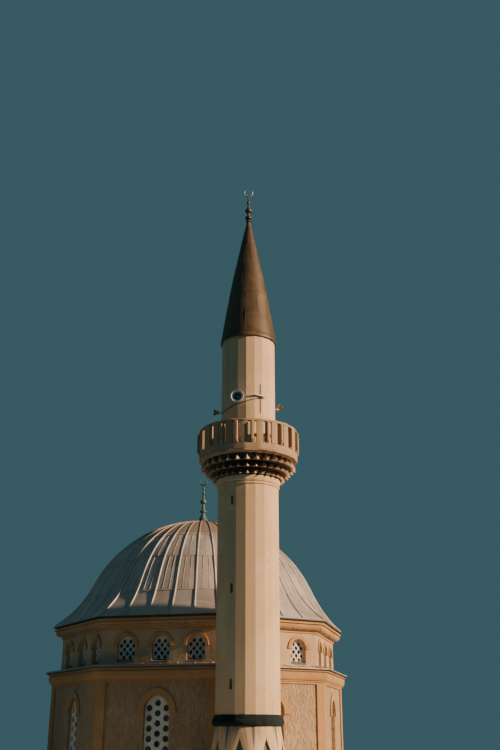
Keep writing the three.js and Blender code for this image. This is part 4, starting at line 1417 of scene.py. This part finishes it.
# The finials: a flared foot, beads on a stem and a crescent with tapering horns
finials = {
    "dome_finial": {
        "centre": (0.0, 0.0), "foot": 10.2503, "base": 0.262, "flare": 0.47, "flarePower": 1.15,
        "stem": (0.060, 0.022), "top": 11.83,
        "beads": (
            (10.776, 0.060, 0.125), (11.167, 0.088, 0.125), (11.34, 0.030, 0.055), (11.51, 0.050, 0.060),
            (11.68, 0.045, 0.050),
        ),
        "moonHeight": 11.975, "moon": 0.160, "moonFinish": "verdigris", "finish": "verdigris",
    },
    "spire_finial": {
        "centre": (tower.x, tower.y), "foot": 20.145, "base": 0.078, "flare": 0.10, "flarePower": 2.4,
        "stem": (0.058, 0.020), "top": 21.25,
        "beads": (
            (20.195, 0.030, 0.095), (20.330, 0.075, 0.122), (20.640, 0.090, 0.126), (20.800, 0.026, 0.045),
            (20.987, 0.060, 0.062), (21.12, 0.028, 0.034),
        ),
        "moonHeight": 21.410, "moon": 0.178, "moonFinish": "worn_silver", "finish": "finial_bronze",
    },
}
finialShape = {
    "steps": 28, "beadSteps": 8, "flareSteps": 6, "hollow": 0.81, "hollowRise": 0.23, "moonSteps": 28,
    "moonSides": 8, "moonHalfThick": 0.020,
}


def addStem(shape, size):
    foot, flare, beads = size["foot"], size["flare"], size["beads"]
    stemFoot, stemHead = size["stem"]
    profile = [(0.0, foot), (size["base"], foot)]
    for share in shares(finialShape["flareSteps"])[1:]:
        radius = mixed(stemFoot, size["base"], (1 - share) ** size["flarePower"])
        if foot + flare * share < beads[0][0] - beads[0][1]:
            profile.append((radius, foot + flare * share))
    for height, halfHeight, radius in beads:
        up = max(0.0, (height - foot - flare) / (size["top"] - foot - flare))
        stem = mixed(stemFoot, stemHead, up)
        profile += halfRound(finialShape["beadSteps"], stem, radius, height, halfHeight)
    profile += [(stemHead, size["top"]), (0.0, size["top"])]
    addTurned(shape, profile, finialShape["steps"], centre=size["centre"])


# The crescent runs down one side of two circles and up the other, round in section
def addCrescent(shape, size):
    form = finialShape
    outer = size["moon"]
    inner = outer * form["hollow"]
    rise = outer * form["hollowRise"]
    tipHeight = (outer ** 2 - inner ** 2 + rise ** 2) / (2 * rise)
    innerStart = math.asin((tipHeight - rise) / inner)
    circles = ((math.asin(tipHeight / outer), outer, 0.0), (innerStart, inner, rise))
    turns = [2 * math.pi * k / form["moonSides"] for k in range(form["moonSides"])]
    rings = []
    for share in shares(form["moonSteps"]):
        spots = []
        for start, radius, lift in circles:
            angle = start - share * (math.pi + 2 * start)
            spots.append(Vector((radius * math.cos(angle), 0, lift + radius * math.sin(angle))))
        middle = (spots[0] + spots[1]) / 2 + Vector((*size["centre"], size["moonHeight"]))
        across = (spots[0] - spots[1]) / 2
        if share in (0, 1):
            rings.append([shape.verts.new(middle)] * form["moonSides"])
            continue
        thick = form["moonHalfThick"] * math.sin(math.pi * share) ** 0.5
        section = [across * math.cos(turn) + Vector((0, thick * math.sin(turn), 0)) for turn in turns]
        rings.append([shape.verts.new(middle + offset) for offset in section])
    for low, high in zip(rings, rings[1:]):
        bridge(shape, low, high)


for name, size in finials.items():
    placeBuilt(
        name + "_stem", lambda shape: addStem(shape, size), "finial_bronze", replaced=(name,), smooth=50,
        finish=size["finish"],
    )
    placeBuilt(
        name + "_crescent", lambda shape: addCrescent(shape, size), "finial_bronze", smooth=60,
        finish=size["moonFinish"],
    )
print("finials set")


# Fittings on the upper shaft are drawn with x to the right, y up and z out of the wall
upperShaft = {"radius": 0.915, "clearance": 0.0003}
fittingPlaces = {
    "horn_speaker": {"side": 0, "along": -0.085, "height": 12.900},
    "side_lamp_left": {"side": -4, "along": 0.0, "height": 12.675},
    "side_lamp_right": {"side": 6, "along": 0.0, "height": 12.829},
    "wall_lamp": {"side": 2, "along": 0.0, "height": 13.010},
}
hornSize = {
    "back": 0.045, "driver": 0.072, "driverEnd": 0.125, "throat": 0.045, "throatEnd": 0.140, "mouth": 0.205,
    "mouthEnd": 0.305, "sheet": 0.007, "power": 2.3, "lip": 0.009, "floor": 0.165, "steps": 12, "turns": 48,
    "bullet": 0.036, "bulletEnd": 0.245, "bulletSteps": 6, "plate": 0.055, "strap": 0.016,
    "shadeSheetEnd": 0.287, "shadeSheetGap": 0.0008, "shadeSheetThickness": 0.0012, "finish": "pale_fitting", "rise": 0,
}
lampSize = {
    "back": 0.080, "driver": 0.060, "driverEnd": 0.140, "throat": 0.056, "throatEnd": 0.150, "mouth": 0.106,
    "mouthEnd": 0.262, "sheet": 0.005, "power": 0.8, "lip": 0.005, "floor": 0.235, "steps": 6, "turns": 32,
    "bullet": 0.0, "plate": 0.040, "strap": 0.014, "finish": "brown_fitting", "rise": 0,
}
barSize = {
    "half": 0.225, "radius": 0.0225, "cap": 0.027, "capLength": 0.040, "out": 0.065, "tilt": 6.0,
    "turns": 20, "rail": (0.405, 0.034, 0.026), "railOut": 0.48, "railBevel": 0.004, "footSpread": 0.55,
    "foot": (0.03, 0.03, 0.026), "footOut": 0.2, "footBevel": 0.002,
}
outward = turned(90, "X")


def fittingPlace(name):
    place = fittingPlaces[name]
    out = upperShaft["radius"] * toFlat + upperShaft["clearance"]
    onWall = Matrix.Translation((place["along"], -out, place["height"]))
    return toTower @ turned(place["side"] * 360 / minaretSides, "Z") @ onWall @ outward


def flareProfile(size):
    points = []
    for share in shares(size["steps"]):
        height = mixed(size["throatEnd"], size["mouthEnd"], share)
        points.append((mixed(size["throat"], size["mouth"], share ** size["power"]), height))
    return points


def addFlaredHead(shape, size):
    back, driver, driverEnd, throat, mouth, end, lip, floor = [
        size[key] for key in ("back", "driver", "driverEnd", "throat", "mouth", "mouthEnd", "lip", "floor")
    ]
    flare = flareProfile(size)
    inside = [(radius - size["sheet"], height) for radius, height in reversed(flare) if height > floor]
    profile = [
        (0.0, back), (driver * 0.75, back), (driver, back + 0.012), (driver, driverEnd - 0.012),
        (driver * 0.85, driverEnd), (throat, driverEnd), *flare, (mouth + lip, end + lip * 0.2),
        (mouth + lip * 1.3, end + lip), (mouth + lip * 0.8, end + lip * 2), (mouth, end + lip * 1.9),
        *inside, (inside[-1][0], floor), (0.0, floor),
    ]

    def head(part):
        addTurned(part, profile, size["turns"])
        if size["bullet"]:
            base, tip = floor + 0.0025, size["bulletEnd"]
            angles = [math.pi / 2 * share for share in shares(size["bulletSteps"])]
            rounds = [(size["bullet"] * math.cos(a), mixed(base, tip, math.sin(a))) for a in angles]
            addTurned(part, [(0.0, base), *rounds], 20)

    pivot = Matrix.Translation((0, 0, back))
    addMoved(shape, pivot @ turned(-size["rise"], "X") @ pivot.inverted(), head)


# A dark sheet just inside the horn's flare: painted shade for its dark depth
def addHornShadeSheet(shape, size):
    skin, thick = size["shadeSheetGap"], size["shadeSheetThickness"]
    base = size["floor"] + skin
    outer = [
        (radius - size["sheet"] - skin, height) for radius, height in flareProfile(size)
        if base < height < size["shadeSheetEnd"]
    ]
    inner = [(radius - thick, height) for radius, height in reversed(outer)]
    bottom = [(inner[-1][0], base + thick), (0.0, base + thick)]
    addTurned(shape, [(0.0, base), (outer[0][0], base), *outer, *inner, *bottom], size["turns"])


bracketSheet = {"plate": 0.008, "plateBevel": 0.002, "strap": 0.006, "strapBevel": 0.0015, "gap": 0.004}


def addBracket(shape, size):
    sheet = bracketSheet
    end, width = size["driverEnd"], 2 * size["strap"]
    side = size["driver"] + sheet["gap"]
    plate = (2 * size["plate"], 2 * size["plate"], sheet["plate"])
    addBox(shape, (0, 0, sheet["plate"] / 2), plate, sheet["plateBevel"])
    for x in (-side, side):
        addBox(shape, (x, 0, end / 2), (sheet["strap"], width, end), sheet["strapBevel"])
    yoke = (2 * side + sheet["strap"], width, sheet["strap"])
    addBox(shape, (0, 0, sheet["plate"] + sheet["strap"] / 2), yoke, sheet["strapBevel"])


def addBar(shape):
    size = barSize
    half, cap, out, capEnd = size["half"], size["cap"], size["out"], size["half"] - size["capLength"]
    ends = [
        (0.0, half), (cap * 0.7, half), (cap, half - 0.006), (cap, capEnd), (size["radius"], capEnd - 0.004),
    ]
    profile = [(radius, -height) for radius, height in ends] + ends[::-1]
    tilt = turned(-size["tilt"], "Z")
    place = Matrix.Translation((0, 0, out)) @ tilt @ turned(90, "Y")
    addMoved(shape, place, lambda part: addTurned(part, profile, size["turns"]))
    addBox(shape, (0, 0, out * size["railOut"]), size["rail"], size["railBevel"], tilt)
    for side in (-1, 1):
        x = side * size["footSpread"] * half
        drop = math.tan(math.radians(size["tilt"])) * x
        addBox(shape, (x, -drop, out * size["footOut"]), size["foot"], size["footBevel"])


flaredHeads = {
    "horn_speaker": hornSize, "side_lamp_left": lampSize, "side_lamp_right": {**lampSize, "rise": 40},
}
for name, size in flaredHeads.items():
    place = fittingPlace(name)
    placeBuilt(
        name + "_head", lambda shape: addFlaredHead(shape, size), "fitting_grey", place, replaced=(name,),
        smooth=40, finish=size["finish"],
    )
    placeBuilt(
        name + "_bracket", lambda shape: addBracket(shape, size), "fitting_grey", place, smooth=40,
        finish="pale_fitting",
    )
placeBuilt(
    "horn_speaker_shade_sheet", lambda shape: addHornShadeSheet(shape, hornSize), "fitting_grey",
    fittingPlace("horn_speaker"), smooth=40, finish="dark_fitting",
)
placeBuilt(
    "wall_lamp_bar", addBar, "fitting_grey", fittingPlace("wall_lamp"), replaced=("wall_lamp",), smooth=40,
    finish="pale_fitting",
)


# A thin pipe clipped up the shaft
pipe = {"turn": -50.1, "foot": 12.41, "head": 13.44, "radius": 0.009, "off": 0.010, "steps": 12, "sides": 8}


def pipeRoute():
    turn = math.radians(pipe["turn"])
    fromMiddle = turn - round(turn / minaretStep) * minaretStep
    reach = upperShaft["radius"] * toFlat / math.cos(fromMiddle) + pipe["off"]
    heights = [mixed(pipe["foot"], pipe["head"], share) for share in shares(pipe["steps"])]
    return onTurn(turn, [(reach, height) for height in heights])


pipeGirths = [pipe["radius"]] * (pipe["steps"] + 1)
placeOnTower("shaft_pipe", [(pipeRoute(), pipeGirths)], "cable_black", 1, pipe["sides"], 0.006)
print("fittings hung")


# The entrance on the hidden side: a moulded frame round the arch, studs and ring pulls on the two leaves
entranceArch = {"half": 0.70, "foot": 0.0, "spring": 2.15, "apex": 2.75}
entranceMoulding = (
    (0.0, -0.045), (0.0, 0.030), (0.018, 0.042), (0.075, 0.042), (0.090, 0.058), (0.140, 0.058),
    (0.155, 0.040), (0.155, -0.045),
)
doorMetal = {
    "face": 4.7203, "studs": (0.30, 1.05, 1.90), "studCount": 6, "studPitch": 0.095, "leafMiddle": 0.35,
    "stud": ((0.0, 0.012), (0.0084, 0.009), (0.014, 0.0), (0.0, -0.001)), "studTurns": 8,
    "plate": ((0.0, 0.022), (0.016, 0.018), (0.034, 0.006), (0.040, 0.0), (0.0, -0.001)), "plateTurns": 20,
    "pull": (0.10, 1.22), "pullRadius": 0.055, "pullGirth": 0.008, "pullSides": 8, "pullTurns": 28,
    "pullOut": 0.020,
}
balconyDoor = {
    "half": 0.298, "foot": 11.062, "head": 12.758, "out": 0.8125, "thick": 0.045, "planks": 5, "gap": 0.004,
    "bevel": 0.004, "ledge": (0.566, 0.022, 0.11), "ledgeFromEnd": 0.25, "ledgeOut": 0.010,
}


def addEntranceFrame(shape):
    left, *rest = archPoints(entranceArch)
    path = [*rest, left]
    wallOut = hallScreen["wallOut"]
    rows = []
    for i, (x, z) in enumerate(path):
        along = (Vector(path[min(len(path) - 1, i + 1)]) - Vector(path[max(0, i - 1)])).normalized()
        row = []
        for out, proud in entranceMoulding:
            row.append(shape.verts.new((x + along.y * out, -(wallOut + proud), z - along.x * out)))
        rows.append(row)
    for low, high in zip(rows, rows[1:]):
        bridge(shape, low, high)
    shape.faces.new(rows[0])
    shape.faces.new(rows[-1])


def addDoorMetal(shape):
    size = doorMetal
    girth = size["pullGirth"]
    angles = [2 * math.pi * k / size["pullSides"] for k in range(size["pullSides"])]
    loop = [(size["pullRadius"] + girth * math.cos(angle), girth * math.sin(angle)) for angle in angles]

    def addOnDoor(profile, turns, x, height, out=0.0, ring=False):
        place = Matrix.Translation((x, -size["face"] - out, height)) @ outward
        addMoved(shape, place, lambda part: addTurned(part, profile, turns, ring=ring))

    for side in (-1, 1):
        for height in size["studs"]:
            for k in range(size["studCount"]):
                x = side * size["leafMiddle"] + size["studPitch"] * (k - (size["studCount"] - 1) / 2)
                addOnDoor(size["stud"], size["studTurns"], x, height)
        x, height = side * size["pull"][0], size["pull"][1]
        addOnDoor(loop, size["pullTurns"], x, height - size["pullRadius"], size["pullOut"], ring=True)
        addOnDoor(size["plate"], size["plateTurns"], x, height)


def addPlankDoor(shape):
    size = balconyDoor
    foot, head, end, bevel = size["foot"], size["head"], size["ledgeFromEnd"], size["bevel"]
    width = 2 * size["half"] / size["planks"]
    middle = (foot + head) / 2
    for k in range(size["planks"]):
        x = width * (k - (size["planks"] - 1) / 2)
        plank = (width - size["gap"], size["thick"], head - foot)
        addBox(shape, (x, -size["out"] + size["thick"] / 2, middle), plank, bevel)
    for height in (foot + end, middle, head - end):
        addBox(shape, (0, -size["out"] - size["ledgeOut"], height), size["ledge"], bevel)


toBack = turned(180, "Z")
placeBuilt("entrance_frame", addEntranceFrame, "floor_stone", toBack, smooth=35)
placeBuilt("entrance_door_metal", addDoorMetal, "fitting_grey", toBack, smooth=40, finish="iron_fitting")
placeBuilt(
    "balcony_plank_door", addPlankDoor, "door_timber", toTower @ toBack, replaced=("balcony_door",),
    smooth=35,
)
print("doors dressed")


# A dim blue sky, one low warm sun from the right, and a plain pale floor
studio = {
    "sky": (0.27, 0.62, 0.74, 1), "skyStrength": 0.17, "sun": (1.0, 0.76, 0.50), "sunStrength": 7.5,
    "sunSpread": 2.5, "sunTurn": 87, "sunHeight": 18, "floorReach": 11.5,
}


def makeLight():
    world = bpy.data.worlds.new("studio")
    bpy.context.scene.world = world
    world.use_nodes = True
    background = world.node_tree.nodes["Background"]
    background.inputs["Color"].default_value = studio["sky"]
    background.inputs["Strength"].default_value = studio["skyStrength"]
    data = bpy.data.lights.new("key", "SUN")
    data.energy = studio["sunStrength"]
    data.angle = math.radians(studio["sunSpread"])
    data.color = studio["sun"]
    key = addToScene("key", data)
    key.matrix_world = turned(studio["sunTurn"], "Z") @ turned(90 - studio["sunHeight"], "X")


def makeFloor():
    reach = studio["floorReach"]
    corners = [(-reach, -reach, 0), (reach, -reach, 0), (reach, reach, 0), (-reach, reach, 0)]
    mesh = bpy.data.meshes.new("floor")
    mesh.from_pydata(corners, [], [(0, 1, 2, 3)])
    mesh.materials.append(finishes["floor_grey"])
    floor = addToScene("floor", mesh)


makeLight()
makeFloor()
